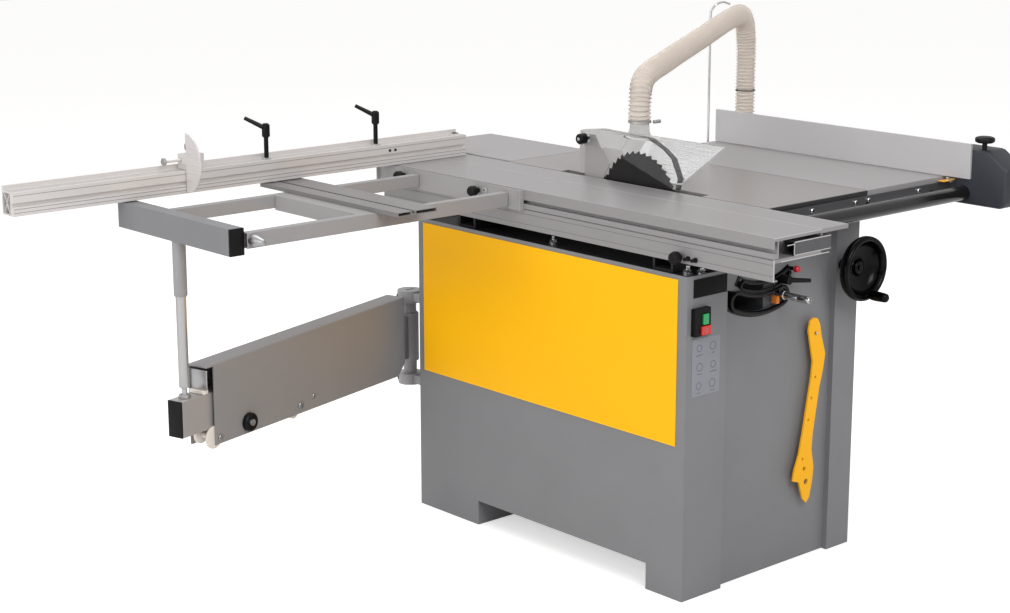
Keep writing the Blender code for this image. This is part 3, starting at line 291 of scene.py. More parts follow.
# ---- Yellow side panel: one sheet of powder-coated steel fixed over the cabinet's
# left side, with a faint satin skin. Its lettering's place is bare.
yellow_paint = finish("yellow_powder_coat", lin(255, 188, 4), 0.50, grain=0.12, grain_size=1300,
    mottle=0.008, specular=0.2)
dress("side_panel", yellow_paint, 0.0006)

# ---- Black tray under the carriage: pressed sheet, with chromed levelling bolts
# whose nuts and washers hold the slide to the cabinet.
black_paint = finish("black_satin_paint", lin(40, 40, 42), 0.40, grain=0.25, grain_size=1100)
dress("top_tray", black_paint, 0.0006)


def turned(name, axis, centre, profile, paint, body, sides=32, smooth=35, bored=False):
    """A disc extruded and resized ring by ring up a profile of (radius, height), laid along an axis."""
    O.object.select_all(action="DESELECT")
    O.mesh.primitive_circle_add(vertices=sides, radius=profile[0][0],
                                fill_type="NOTHING" if bored else "NGON", location=(0, 0, profile[0][1]))
    piece = C.object
    O.object.transform_apply(location=True, rotation=True, scale=True)
    piece.name = name
    O.object.mode_set(mode="EDIT")
    O.mesh.select_all(action="SELECT")
    for (r0, h0), (r1, h1) in zip(profile, profile[1:]):
        O.mesh.extrude_region_move(TRANSFORM_OT_translate={"value": (0, 0, h1 - h0)})
        O.transform.resize(value=(r1 / r0, r1 / r0, 1), center_override=(0, 0, h1))
    O.mesh.select_all(action="SELECT")
    if bored:
        O.mesh.remove_doubles(threshold=0.00002)
    O.mesh.normals_make_consistent(inside=False)
    O.object.mode_set(mode="OBJECT")
    turn = {"x": Matrix.Rotation(math.pi / 2, 4, "Y"), "y": Matrix.Rotation(-math.pi / 2, 4, "X"),
            "z": Matrix.Identity(4)}[axis]
    piece.data.transform(Matrix.Translation(at(*centre)) @ turn)
    O.object.shade_smooth_by_angle(angle=math.radians(smooth))
    piece.data.materials.append(paint)
    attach(piece, body)
    return piece


chrome = finish("chromed_bolt", (0.72, 0.72, 0.73), 0.22, metal=1.0, grain=0.05)
zinc = finish("zinc_steel", (0.50, 0.50, 0.51), 0.34, metal=1.0, grain=0.10, stretch=(1, 1, 0.1))
for k, (bx, by, top) in enumerate(((-0.2045, 0.074, 0.745), (-0.209, -0.353, 0.745),
                                   (-0.185, -0.372, 0.740))):
    turned(f"tray_washer_{k}", "z", (bx, by, 0.7267), [(0.0125, 0), (0.0125, 0.0022), (0.0115, 0.0026)],
        chrome, "stand")
    turned(f"tray_nut_{k}", "z", (bx, by, 0.7294), [(0.0092, 0), (0.0098, 0.0007), (0.0098, 0.0063),
        (0.0090, 0.0070)], chrome, "stand", sides=6, smooth=20)
    turned(f"tray_bolt_{k}", "z", (bx, by, 0.7365), [(0.0055, 0), (0.0055, top - 0.7375),
        (0.0044, top - 0.7365)], chrome, "stand", sides=20)

# ---- Switch: moulded black housing with a green start and a red stop key,
# each key a crowned pad with a raised ring or bar.
switch_black = finish("switch_black", lin(7, 7, 8), 0.45, grain=0.1, specular=0.2)
dress("switch_box", switch_black, 0.0012)
green_plastic = finish("green_key", lin(30, 170, 95), 0.28, grain=0.05, coat=0.3)
red_plastic = finish("red_key", lin(214, 50, 42), 0.28, grain=0.05, coat=0.3)
dress("start_button", green_plastic, 0.0010)
dress("stop_button", red_plastic, 0.0010)
block("start_mark", -0.2113, -0.2102, -0.4128, -0.4121, 0.6325, 0.6405, 0.0002, label_film, "start")
ring_mark("stop_mark", (-0.2098, -0.4133, 0.6122), 0.0042, 0.0006, 1, label_film, "stop")

# ---- Tilt scale and slots: black moulded trims round two curved slots, with a
# pale engraved degree scale, an orange pointer, and a clamp lever with a red tip.
black_trim = finish("black_trim", lin(5, 5, 6), 0.2, grain=0.05, specular=0.3)
dress("tilt_slot_trim", black_trim, 0.0008)
dress("tilt_scale_trim", black_trim, 0.0005)


def slot_rim(name, r0, r1, deg0, deg1, y, thick, paint):
    """A rounded lip spun round a curved slot: outer arc, end, inner arc, end."""
    def spot(radius, deg):
        a = math.radians(deg)
        return at(radius * math.sin(a), y, ARC_HIGH - radius * math.cos(a))
    O.object.select_all(action="DESELECT")
    O.mesh.primitive_circle_add(vertices=14, radius=thick, fill_type="NOTHING", location=(0, 0, 0))
    rim = C.object
    rim.name = name
    rim.data.transform(Matrix.Translation(spot(r1, deg0)) @ Matrix.Rotation(math.radians(-deg0), 4, "Y")
                       @ Matrix.Rotation(math.pi / 2, 4, "Y") @ Matrix.Diagonal((1, 0.8, 1, 1)))
    O.object.mode_set(mode="EDIT")
    O.mesh.select_all(action="SELECT")
    middle = (r0 + r1) / 2
    for steps, turn, centre in ((28, deg1 - deg0, at(0, y, ARC_HIGH)), (12, 180, spot(middle, deg1)),
                                (28, deg0 - deg1, at(0, y, ARC_HIGH)), (12, 180, spot(middle, deg0))):
        O.mesh.spin(steps=steps, angle=math.radians(turn), center=centre, axis=(0, 1, 0))
    O.mesh.select_all(action="SELECT")
    O.mesh.remove_doubles(threshold=0.0003)
    O.mesh.normals_make_consistent(inside=False)
    O.object.mode_set(mode="OBJECT")
    O.object.shade_smooth()
    rim.data.materials.append(paint)
    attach(rim, "stand")


slot_rim("tilt_slot_lip", 0.1975, 0.2372, -23.0, 17.0, -0.3872, 0.0046, black_trim)
slot_rim("clamp_slot_lip", 0.1700, 0.1875, -21.0, 27.0, -0.3862, 0.0036, black_trim)
scale_ink = finish("scale_silver", (0.55, 0.55, 0.56), 0.4, metal=0.5, grain=0.05)
trim_face = FRONT + 0.0153 - 0.0003 - 0.002
SCALE_R = 0.1700
for k in range(10):
    a = math.radians(19.5 - 5 * k)
    tall = 0.0034 if k % 3 == 0 else 0.0020
    tick = block(f"scale_tick_{k}", -0.0005, 0.0005, trim_face - 0.0004, trim_face - 0.0001, -tall / 2,
        tall / 2, 0.0001, scale_ink, "stand")
    spot = Vector(at(SCALE_R * math.sin(a), 0, ARC_HIGH - SCALE_R * math.cos(a)))
    tick.data.transform(Matrix.Translation(spot - ZERO) @ Matrix.Translation(ZERO)
                        @ Matrix.Rotation(-a, 4, "Y") @ Matrix.Translation(-ZERO))
orange = finish("orange_pointer", lin(214, 120, 40), 0.4, grain=0.1)
block("tilt_pointer", 0.0305, 0.0405, -0.4000, -0.3835, 0.629, 0.646, 0.0012, orange, "tilt_unit")
dress("tilt_clamp_lever", black_plastic, 0.0010)
red_tip = finish("red_tip", lin(200, 30, 45), 0.3, grain=0.05, coat=0.3)
turned("clamp_tip", "y", (0.0925, 0, 0.700), [(0.0055, -0.4095), (0.0075, -0.4075), (0.0080, -0.4010),
    (0.0065, -0.3970)], red_tip, "stand", sides=24)
turned("clamp_tip_stem", "y", (0.0925, 0, 0.700), [(0.0040, -0.3968), (0.0040, -0.3820)], black_plastic,
    "stand", sides=20)

# ---- Height shaft: bright ground steel bar with a cross slot for the crank, in a
# turned steel sleeve that rides with it.
ground = finish("ground_steel", (0.58, 0.58, 0.58), 0.24, metal=1.0, grain=0.12, stretch=(1, 0.05, 1))
dress("height_shaft", ground, 0.0006)
turned("height_sleeve", "y", (0.0526, 0, 0.6467), [(0.0060, -0.4760), (0.0076, -0.4752), (0.0084, -0.4735),
    (0.0084, -0.4480), (0.0078, -0.4470), (0.0078, -0.4440), (0.0084, -0.4430), (0.0084, -0.4060),
    (0.0100, -0.4050), (0.0104, -0.3960), (0.0095, -0.3945), (0.0066, -0.3943), (0.0060, -0.3960),
    (0.0060, -0.4760)], ground, "height_crank", sides=36, bored=True)

# ---- Tilting handwheel: black bakelite, dished, with a polished rim and a
# grip that turns on its own pin.
bakelite = finish("bakelite", lin(2, 2, 2), 0.22, grain=0.04, mottle=0.05, specular=0.16)
wheel = turned("handwheel", "y", (WHEEL[0], 0, WHEEL[1]), [(0.0140, -0.3975), (0.0140, -0.4230),
    (0.0260, -0.4260), (0.0480, -0.4330), (0.0620, -0.4400), (0.0710, -0.4470), (0.0745, -0.4540),
    (0.0750, -0.4620), (0.0738, -0.4672), (0.0705, -0.4698), (0.0660, -0.4695), (0.0625, -0.4660),
    (0.0608, -0.4580), (0.0570, -0.4480), (0.0460, -0.4400), (0.0280, -0.4370), (0.0190, -0.4370),
    (0.0165, -0.4390), (0.0160, -0.4465), (0.0140, -0.4480), (0.0100, -0.4482)], bakelite, "tilt_wheel",
    sides=96, smooth=50)
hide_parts("tilt_handwheel")
grip = turned("wheel_handle", "y", (0.272, 0, 0.625), [(0.0055, -0.4701), (0.0062, -0.4715),
    (0.0098, -0.4730), (0.0112, -0.4780), (0.0116, -0.4880), (0.0112, -0.5020), (0.0108, -0.5110),
    (0.0098, -0.5170), (0.0070, -0.5198), (0.0030, -0.5205)], bakelite, "wheel_grip",
    sides=40, smooth=50)
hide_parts("handwheel_grip")
turned("handwheel_bolt", "y", (WHEEL[0], 0, WHEEL[1]), [(0.0050, -0.4484), (0.0060, -0.4488),
    (0.0060, -0.4510), (0.0048, -0.4520)], bakelite, "tilt_wheel", sides=24)

# ---- Push stick: flat yellow moulding with a notch, holes and a rounded edge.
yellow_plastic = finish("yellow_moulding", lin(255, 184, 6), 0.42, grain=0.10, grain_size=700, mottle=0.015,
    specular=0.3)
dress("push_stick", yellow_plastic, 0.0012)
turned("push_stick_stud", "y", (0.165, 0, 0.541), [(0.0022, -0.4090), (0.0027, -0.4086)], chrome, "stand",
    sides=20)

# ---- Tables: a ground cast-iron centre with the traces of the grinding wheel, and
# folded steel extensions painted to match; dark lines where the plates meet.
iron = finish("ground_iron", lin(146, 142, 141), 0.30, metal=0.25, grain=0.06, grain_size=500,
    stretch=(0.06, 1, 1), mottle=0.008)
table_paint = finish("table_gray", lin(154, 152, 153), 0.40, grain=0.20, grain_size=1200, mottle=0.012)
dress("saw_table", iron, 0.0010)
dress("rear_extension", table_paint, 0.0010)
dress("right_extension", table_paint, 0.0010)

seam = finish("table_seam", lin(70, 69, 69), 0.6, grain=0.05)
iron_low, iron_high = (local(corner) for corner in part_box("saw_table"))
for name, x0, x1, y0, y1, z0, z1, edge, paint in (
        ("table_seam_right", iron_high.x - 0.0004, iron_high.x + 0.0008, iron_low.y, iron_high.y,
         TABLE_TOP, 0.8501, 0.00002, seam),
        ("table_seam_rear", iron_low.x, iron_high.x, iron_high.y - 0.0004, iron_high.y + 0.0008,
         TABLE_TOP, 0.8501, 0.00002, seam),
        ("table_front_strip", 0.0, iron_high.x, iron_low.y - 0.0024, iron_low.y - 0.0003,
         0.8385, 0.8495, 0.0003, black_paint)):
    block(name, x0, x1, y0, y1, z0, z1, edge, paint, "stand")

# ---- Carriage and slide base: extruded aluminium, coated pale gray, with drawn
# lines along its length, painted shadow lines along its side where its grooves
# are, painted highlight lines along its top and round its near end, and a black
# clamp knob.
slide_gray = finish("slide_gray", lin(147, 145, 146), 0.36, metal=0.15, grain=0.35, grain_size=900,
    stretch=(1, 0.02, 1), mottle=0.012)
for name in ("carriage_top", "carriage_lip", "slide_base"):
    dress(name, slide_gray, 0.0006)
for name in ("slide_bracket_front", "slide_bracket_rear"):
    dress(name, black_paint, 0.0010)
drawn_alu = finish("drawn_aluminium", (0.15, 0.15, 0.16), 0.32, metal=0.8, grain=0.35, grain_size=700,
    stretch=(0.03, 1, 1))
dress("slide_end_channel", drawn_alu, 0.0006)
# A darker gray laid in thin lines along the slide's side: painted shadow where its grooves are.
slide_groove_shadow_paint = finish("slide_groove_shadow_paint", lin(84, 84, 87), 0.5, grain=0.05)
# A pale gray laid in thin lines along the carriage's top and round the near end: painted highlights on its
# edges and seams.
painted_edge_highlight = finish("painted_edge_highlight", lin(205, 203, 204), 0.3, metal=0.4, grain=0.05)
for k, (z0, high) in enumerate(((0.8035, 0.0009), (0.7935, 0.0006), (0.7700, 0.0006))):
    block(f"slide_side_shadow_line_{k}", SLIDE_SIDE, -0.2500, SLIDE_NEAR, SLIDE_FAR, z0, z0 + high, 0.00005,
        slide_groove_shadow_paint, "carriage" if z0 > 0.8047 else "stand")
for k, (x0, wide) in enumerate(((-0.2497, 0.0011), (-0.1012, 0.0012), (-0.0185, 0.0008))):
    block(f"carriage_top_highlight_line_{k}", x0, x0 + wide, SLIDE_NEAR, SLIDE_FAR, TABLE_TOP, 0.8502, 0.00005,
        painted_edge_highlight, "carriage")
low, high = (local(corner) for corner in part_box("slide_end_channel"))
front_y = low.y - 0.0002
for k, (x0, x1, z0, z1) in enumerate((
        (low.x, high.x, high.z - 0.0022, high.z), (low.x, low.x + 0.0022, low.z, high.z),
        (low.x, high.x, low.z, low.z + 0.0018), (low.x - 0.022, low.x, high.z - 0.0060, high.z - 0.0040),
        (low.x - 0.040, high.x - 0.004, low.z - 0.0080, low.z - 0.0060))):
    block(f"slide_end_highlight_line_{k}", x0, x1, front_y, front_y + 0.0001, z0, z1, 0.00003, painted_edge_highlight, "stand")
for name, x1, z0, z1, body in (("slide_end_edge_highlight", -0.2466, 0.7590, 0.8046, "stand"),
                               ("carriage_end_edge_highlight", -0.1000, 0.8482, TABLE_TOP, "carriage")):
    block(name, -0.2502, x1, -0.6283, -0.6281, z0, z1, 0.00005, painted_edge_highlight, body)
turned("slide_lock_knob", "x", (0, -0.3705, 0.7710), [(0.0050, -0.2504), (0.0050, -0.2570),
    (0.0120, -0.2585), (0.0145, -0.2620), (0.0145, -0.2720), (0.0125, -0.2765), (0.0060, -0.2780)],
    black_plastic, "stand", sides=10, smooth=25)
for k, by in enumerate((-0.3930, -0.4140)):
    turned(f"slide_lock_bolt_{k}", "x", (0, by, 0.7710), [(0.0060, -0.2504), (0.0060, -0.2535),
        (0.0042, -0.2540), (0.0042, -0.2640), (0.0030, -0.2648)], black_plastic, "stand",
        sides=6, smooth=20)

# ---- Outrigger: welded square tubes in the cabinet's gray, a slotted slat and
# star knobs that clamp it to the carriage, and a sprung pin at its near corner.
pale_paint = finish("pale_gray_coat", lin(150, 148, 149), 0.48, grain=0.2, grain_size=1100, mottle=0.01)
dress("outrigger_end_tube", gray_paint, 0.0018)
for name in ("outrigger_near_bar", "outrigger_far_bar", "outrigger_cross_tube"):
    dress(name, pale_paint, 0.0018)
dress("outrigger_plate", table_paint, 0.0006)
slat_gray = finish("slat_gray", lin(124, 122, 122), 0.40, grain=0.2, grain_size=900)
dress("outrigger_slat", slat_gray, 0.0005)
dress("outrigger_end_cap", black_plastic, 0.0014)
for name in ("outrigger_knob_front", "outrigger_knob_rear"):
    dress(name, black_plastic, 0.0008)
turned("spring_pin", "y", (-0.9640, 0, 0.8215), [(0.0120, 0.1747), (0.0124, 0.1735), (0.0124, 0.1640),
    (0.0112, 0.1560), (0.0085, 0.1440), (0.0066, 0.1370), (0.0060, 0.1345), (0.0040, 0.1340),
    (0.0036, 0.1365)], zinc, "carriage", sides=40, smooth=50)
turned("plate_bolt", "x", (0, 0.2500, 0.8332), [(0.0050, -0.2547), (0.0055, -0.2560), (0.0055, -0.2610),
    (0.0045, -0.2620)], chrome, "carriage", sides=6, smooth=20)

# ---- Crosscut fence: anodised aluminium extrusion, with drawn lines along its
# length, painted shadow lines for the fine grooves in its top and face, an X of
# webs inside and a black end cap.
anodised = finish("anodised_aluminium", lin(219, 215, 213), 0.36, metal=0.30, grain=0.30, grain_size=800,
    stretch=(0.02, 1, 1), mottle=0.012)
dress("crosscut_fence", anodised, 0.0006)
dress("flip_stop_block", anodised, 0.0008)
dress("flip_stop_plate", anodised, 0.0008)
# Dark strips on the fence's top: painted shadow where its grooves are.
groove_shadow_paint = finish("groove_shade", lin(96, 97, 100), 0.5, grain=0.1)
for k in range(4):
    gy = 0.5990 + 0.0075 * k
    block(f"fence_groove_shadow_{k}", FENCE_LEFT, FENCE_RIGHT, gy, gy + 0.0009, FENCE_TOP, 0.9032, 0.00005, groove_shadow_paint,
        "swing_fence")
for k, lean in enumerate((-1, 1)):
    web = block(f"fence_web_{k}", FENCE_LEFT, -0.0280, -0.0008, 0.0008, -0.0258, 0.0258, 0.0003, anodised,
        "swing_fence")
    spot = Vector(at(0, 0, 0))
    web.data.transform(Matrix.Translation(at(0, 0.6195, 0.8768)) @ Matrix.Rotation(lean * 0.52, 4, "X")
                       @ Matrix.Translation(-spot))
block("fence_end_cap", -0.0420, -0.0240, 0.6240, 0.6400, 0.8960, 0.9046, 0.0025, black_plastic,
    "swing_fence")
for k, bx in enumerate((-0.272, -0.255)):
    turned(f"fence_screw_{k}", "y", (bx, 0, 0.888), [(0.0036, 0.5919), (0.0036, 0.5905), (0.0030, 0.5898),
        (0.0015, 0.5899)], black_paint, "swing_fence", sides=20)
# Dark strips along the fence's face: painted shadow where its grooves are.
for k, gz in enumerate((0.8575, 0.8655, 0.8945)):
    block(f"fence_face_shadow_line_{k}", FENCE_LEFT, FENCE_RIGHT, FENCE_FACE, 0.5922, gz, gz + 0.0008, 0.00005, groove_shadow_paint,
        "swing_fence")

# ---- Fence clamp levers: black moulded handles over a threaded post, each
# with a washer on the fence.
for name in ("fence_lever_inner", "fence_lever_outer"):
    dress(name, black_plastic, 0.0010)
for name, body, lx in (("inner", "lever_in", -0.300), ("outer", "lever_out", -0.622)):
    turned(f"lever_washer_{name}", "z", (lx, 0.6115, 0), [(0.0110, 0.9034), (0.0110, 0.9052),
        (0.0100, 0.9058)], zinc, body)

# ---- Flip stop: a D-shaped aluminium plate with pressed ribs, turning on a
# pin with a hex head, and a black knob that locks its block.
for k in range(5):
    zz = 0.8800 + 0.0190 * k
    deep = 0.0525 * math.sqrt(max(0.05, 1 - ((zz - 0.9205) / 0.0675) ** 2))
    block(f"stop_rib_{k}", -0.8564, -0.8556, 0.5890 - deep, 0.5870, zz, zz + 0.0035, 0.0004, anodised,
        "stop_flap")
turned("stop_hex", "x", (0, 0.612, 0.925), [(0.0085, -0.9025), (0.0092, -0.9015), (0.0092, -0.8965),
    (0.0085, -0.8961)], zinc, "stop_slide", sides=6, smooth=20)
turned("stop_lock_knob", "z", (-0.8245, 0.6180, 0), [(0.0060, 0.9373), (0.0060, 0.9420), (0.0125, 0.9440),
    (0.0132, 0.9480), (0.0132, 0.9560), (0.0110, 0.9600), (0.0040, 0.9610)], black_plastic, "stop_slide")

# ---- Rip fence: anodised plate on a blue-gray cast block, locked by a black
# mushroom knob; a yellow pointer reads the scale, and chromed studs hold the plate.
plate_alu = finish("fence_plate", lin(200, 199, 201), 0.36, metal=0.25, grain=0.30, grain_size=800,
    stretch=(1, 0.02, 1), mottle=0.012)
dress("rip_fence_plate", plate_alu, 0.0008)
blue_gray = finish("blue_gray_cast", lin(42, 46, 54), 0.48, grain=0.45, grain_size=900, mottle=0.04)


def carve(piece, *cutters):
    """Cuts the cutters out of the piece, removes them, and shades it afresh."""
    for cutter in cutters:
        C.view_layer.objects.active = piece
        cut = piece.modifiers.new("opening", "BOOLEAN")
        cut.operation = "DIFFERENCE"
        cut.solver = "EXACT"
        cut.object = cutter
        O.object.modifier_apply(modifier="opening")
        bpy.data.objects.remove(cutter)
    O.object.select_all(action="DESELECT")
    piece.select_set(True)
    O.object.mode_set(mode="EDIT")
    O.mesh.select_all(action="SELECT")
    O.mesh.normals_make_consistent(inside=False)
    O.object.mode_set(mode="OBJECT")
    O.object.shade_smooth_by_angle(angle=math.radians(35))


cast_block = block("rip_block_casting", 0.6261, 0.6975, -0.5797, -0.4303, 0.7903, 0.9247, 0.0, blue_gray,
    "rip_fence")
O.object.mode_set(mode="EDIT")
O.mesh.select_all(action="SELECT")
O.mesh.bisect(plane_co=at(0.66, -0.5797, 0.8850), plane_no=(0, -0.5723, 0.8200), clear_outer=True,
              use_fill=True)
O.mesh.select_all(action="SELECT")
O.mesh.bisect(plane_co=at(0.66, -0.5797, 0.8060), plane_no=(0, -0.7071, -0.7071), clear_outer=True,
              use_fill=True)
O.mesh.select_all(action="SELECT")
O.mesh.remove_doubles(threshold=0.0001)
O.mesh.dissolve_limited(angle_limit=0.02)
O.mesh.select_all(action="SELECT")
O.mesh.bevel(offset=0.0075, segments=5, affect="EDGES", clamp_overlap=True)
O.mesh.normals_make_consistent(inside=False)
O.object.mode_set(mode="OBJECT")
carve(cast_block, turned("rip_bore", "x", (0, -0.460, 0.817), [(0.0176, 0.6100), (0.0176, 0.7100)],
    blue_gray, "rip_fence", sides=56))
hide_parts("rip_fence_block")
mushroom = turned("rip_lock_knob", "z", (0.6403, -0.5035, 0), [(0.0060, 0.9253), (0.0060, 0.9385),
    (0.0090, 0.9398), (0.0180, 0.9405), (0.0225, 0.9430), (0.0235, 0.9465), (0.0235, 0.9500),
    (0.0222, 0.9527), (0.0170, 0.9548), (0.0100, 0.9556), (0.0040, 0.9558)], black_plastic, "rip_clamp",
    sides=48, smooth=50)
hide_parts("rip_fence_knob")
pointer_yellow = finish("pointer_yellow", lin(238, 172, 38), 0.4, grain=0.1)
block("rip_pointer", 0.5930, 0.6440, -0.4270, -0.4080, 0.8420, 0.8438, 0.0005, pointer_yellow, "rip_fence")
block("rip_pointer_foot", 0.6180, 0.6270, -0.4290, -0.4180, 0.8380, 0.8420, 0.0008, zinc, "rip_fence")
turned("rip_stud", "z", (0.6190, -0.4180, 0), [(0.0042, 0.8439), (0.0042, 0.8500), (0.0030, 0.8508)],
    chrome, "rip_fence", sides=20)

# ---- Front rails: a dark folded angle with a scale edge and a black round bar;
# the angle's screws are chromed.
rail_dark = finish("rail_dark", lin(112, 112, 115), 0.30, metal=0.6, grain=0.30, stretch=(0.02, 1, 1),
    grain_size=700)
dress("fence_rail_angle", rail_dark, 0.0004)
for k, rx in enumerate((0.133, 0.286, 0.333, 0.520)):
    turned(f"rail_screw_{k}", "y", (rx, 0, 0.828), [(0.0045, -0.4068), (0.0055, -0.4072), (0.0055, -0.4098),
        (0.0040, -0.4112)][::-1], chrome, "stand", sides=24)
rail_black = finish("rail_black", lin(22, 22, 23), 0.20, metal=0.4, grain=0.06, coat=0.4)
dress("fence_rail_round", rail_black, 0)
turned("rail_sleeve", "x", (0, -0.460, 0.817), [(0.0150, 0.0010), (0.01715, 0.0022), (0.01715, 0.5990),
    (0.01700, 0.6000)], rail_black, "stand", sides=56)

# ---- Blade and its drive: a toothed carbide-tipped steel blade with a dark
# coating, on its arbor; the carrier, motor and belt inside the cabinet.
blade_steel = finish("blade_steel", lin(20, 18, 19), 0.42, metal=0.2, grain=0.25, grain_size=1200,
    mottle=0.05)
dress("saw_blade", blade_steel, 0)
cast = finish("cast_iron_dark", lin(90, 92, 96), 0.5, metal=0.4, grain=0.5, grain_size=600, mottle=0.06)
for name in ("tilt_frame", "arbor_housing"):
    dress(name, cast, 0.0012)
dress("motor", gray_paint, 0.0030)
for name in ("arbor_shaft", "arbor_pulley", "motor_pulley"):
    dress(name, ground, 0.0008)
belt = finish("belt_rubber", lin(28, 28, 28), 0.7, grain=0.4)
dress("drive_belt", belt, 0)
knife_steel = finish("knife_steel", lin(176, 174, 174), 0.36, metal=0.3, grain=0.2, stretch=(1, 1, 0.05))
dress("riving_knife", knife_steel, 0.0003)


# ---- Guard: moulded clear polycarbonate, a shallow hood with a ribbed wing and
# a neck for the hose; clamped to the riving knife by a black knurled knob.
def clear(name, tint, rough, milky, ior=1.45):
    """A see-through plastic: part transmission, part pale milkiness."""
    made = finish(name, tint, rough, grain=0.10, grain_size=500, mottle=0.02)
    skin = made.node_tree.nodes["Principled BSDF"]
    skin.inputs["Transmission Weight"].default_value = 1.0 - milky
    skin.inputs["IOR"].default_value = ior
    return made


guard_clear = clear("guard_clear", (0.97, 0.97, 0.97), 0.05, 0.03, 1.12)


def hull(name, outline, x0, x1, paint, body):
    """A block bisected along each side of a convex outline of (y, z)."""
    ys, zs = [p[0] for p in outline], [p[1] for p in outline]
    piece = block(name, x0, x1, min(ys), max(ys), min(zs), max(zs), 0.0, paint, body)
    O.object.mode_set(mode="EDIT")
    for (ya, za), (yb, zb) in zip(outline, outline[1:] + outline[:1]):
        O.mesh.select_all(action="SELECT")
        O.mesh.bisect(plane_co=at(0, ya, za), plane_no=(0, zb - za, ya - yb), clear_outer=True,
                      use_fill=True)
    O.mesh.select_all(action="SELECT")
    O.mesh.remove_doubles(threshold=0.00002)
    O.mesh.normals_make_consistent(inside=False)
    O.object.mode_set(mode="OBJECT")
    return piece


hood = hull("guard_hood", [(-0.1220, 0.8512), (0.1930, 0.8512), (0.1960, 0.9000), (0.1900, 0.9580),
    (0.1270, 0.9660), (-0.0350, 0.9620), (-0.0800, 0.9440), (-0.1100, 0.9245), (-0.1320, 0.8800)], -0.0120,
    0.0120, guard_clear, "guard_unit")
inside = hull("hood_inside", [(-0.1185, 0.8400), (0.1890, 0.8400), (0.1930, 0.9000), (0.1870, 0.9545),
    (0.1270, 0.9625), (-0.0350, 0.9585), (-0.0800, 0.9405), (-0.1075, 0.9225), (-0.1285, 0.8800)], -0.0095,
    0.0095, guard_clear, "guard_unit")
cheek = hull("hood_cheek", [(-0.1240, 0.8520), (-0.1240, 0.8400), (0.2100, 0.8400), (0.2100, 0.9220),
    (0.0900, 0.9200)], -0.0200, -0.0094, guard_clear, "guard_unit")
carve(hood, inside, cheek)
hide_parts("guard")
dress("guard_knob", black_plastic, 0.0010)
turned("guard_knob_centre", "x", (0, 0.171, 0.940), [(0.0030, -0.0372), (0.0042, -0.0368),
    (0.0042, -0.0361)], chrome, "guard_screw", sides=24)
funnel = turned("guard_funnel", "z", (*NECK, 0), [(0.0232, 0.9900), (0.0240, 0.9760), (0.0262, 0.9690),
    (0.0315, 0.9620), (0.0390, 0.9560), (0.0400, 0.9562), (0.0325, 0.9632), (0.0275, 0.9700),
    (0.0254, 0.9765), (0.0246, 0.9900), (0.0232, 0.9900)], guard_clear, "guard_unit",
    sides=48, smooth=60, bored=True)
funnel.data.transform(Matrix.Translation(at(*NECK, 0)) @ Matrix.Diagonal((0.62, 1.15, 1, 1))
                      @ Matrix.Translation(-Vector(at(*NECK, 0))))
guard_rib = clear("guard_rib", (1.0, 1.0, 1.0), 0.25, 0.85, 1.1)
wing = block("guard_wing", 0, 0.1160, -0.1830, 0.1100, 0, 0.0022, 0.0, guard_clear, "guard_unit")
O.object.mode_set(mode="EDIT")
O.mesh.select_all(action="SELECT")
O.mesh.bisect(plane_co=at(0, -0.1185, 0), plane_no=(-0.0645, -0.1160, 0), clear_outer=True, use_fill=True)
O.object.mode_set(mode="OBJECT")
wing_frame = (Matrix.Translation(Vector(at(0.0104, 0, 0.8625)) - ZERO) @ Matrix.Translation(ZERO)
              @ Matrix.Rotation(-0.8430, 4, "Y") @ Matrix.Translation(-ZERO))
wing.data.transform(wing_frame)
ribs_on_wing = block("guard_wing_ribs", 0.0250, 0.0262, -0.1260, -0.1170, 0.0018, 0.0034, 0.0004, guard_rib,
    "guard_unit")
for step, count in (((0, 0.0125, 0), 9), ((0.0105, -0.0058, 0), 8)):
    more = ribs_on_wing.modifiers.new("rows", "ARRAY")
    more.count = count
    more.use_relative_offset = False
    more.use_constant_offset = True
    more.constant_offset_displace = step
    O.object.modifier_apply(modifier="rows")
ribs_on_wing.data.transform(wing_frame)
turned("neck_clamp", "z", (*NECK, 0), [(0.0262, 0.9930), (0.0272, 0.9936), (0.0272, 0.9984),
    (0.0262, 0.9990)], zinc, "guard_unit", sides=48)
turned("neck_clamp_screw", "x", (0, -0.0185, 0.9960), [(0.0030, 0.0240), (0.0042, 0.0245), (0.0042, 0.0440),
    (0.0030, 0.0446)], zinc, "guard_unit", sides=20)

# ---- Arm under the outrigger: welded box arm on a turned column, a plated
# telescopic tube with its cap, a turned strut, a black clamp knob and a roller.
arm_paint = finish("arm_paint", lin(137, 136, 137), 0.55, grain=0.2, grain_size=1100, mottle=0.01)
# The column and hub take the arm's gray lightened: painted light making up for the shade they stand in
# between cabinet and arm.
column_lightened_paint = finish("column_lightened_paint", lin(168, 167, 169), 0.5, grain=0.2, grain_size=1100)
dress("hinge_column", column_lightened_paint, 0.0016)
arm_turn = math.atan2(-0.2200, -0.8095)
arm_frame = (Matrix.Translation(Vector(at(*COLUMN, 0))) @ Matrix.Rotation(arm_turn, 4, "Z")
             @ Matrix.Translation(-ZERO))


def on_arm(piece):
    """Turns a piece made along X into the arm's own direction."""
    piece.data.transform(arm_frame)
    return piece


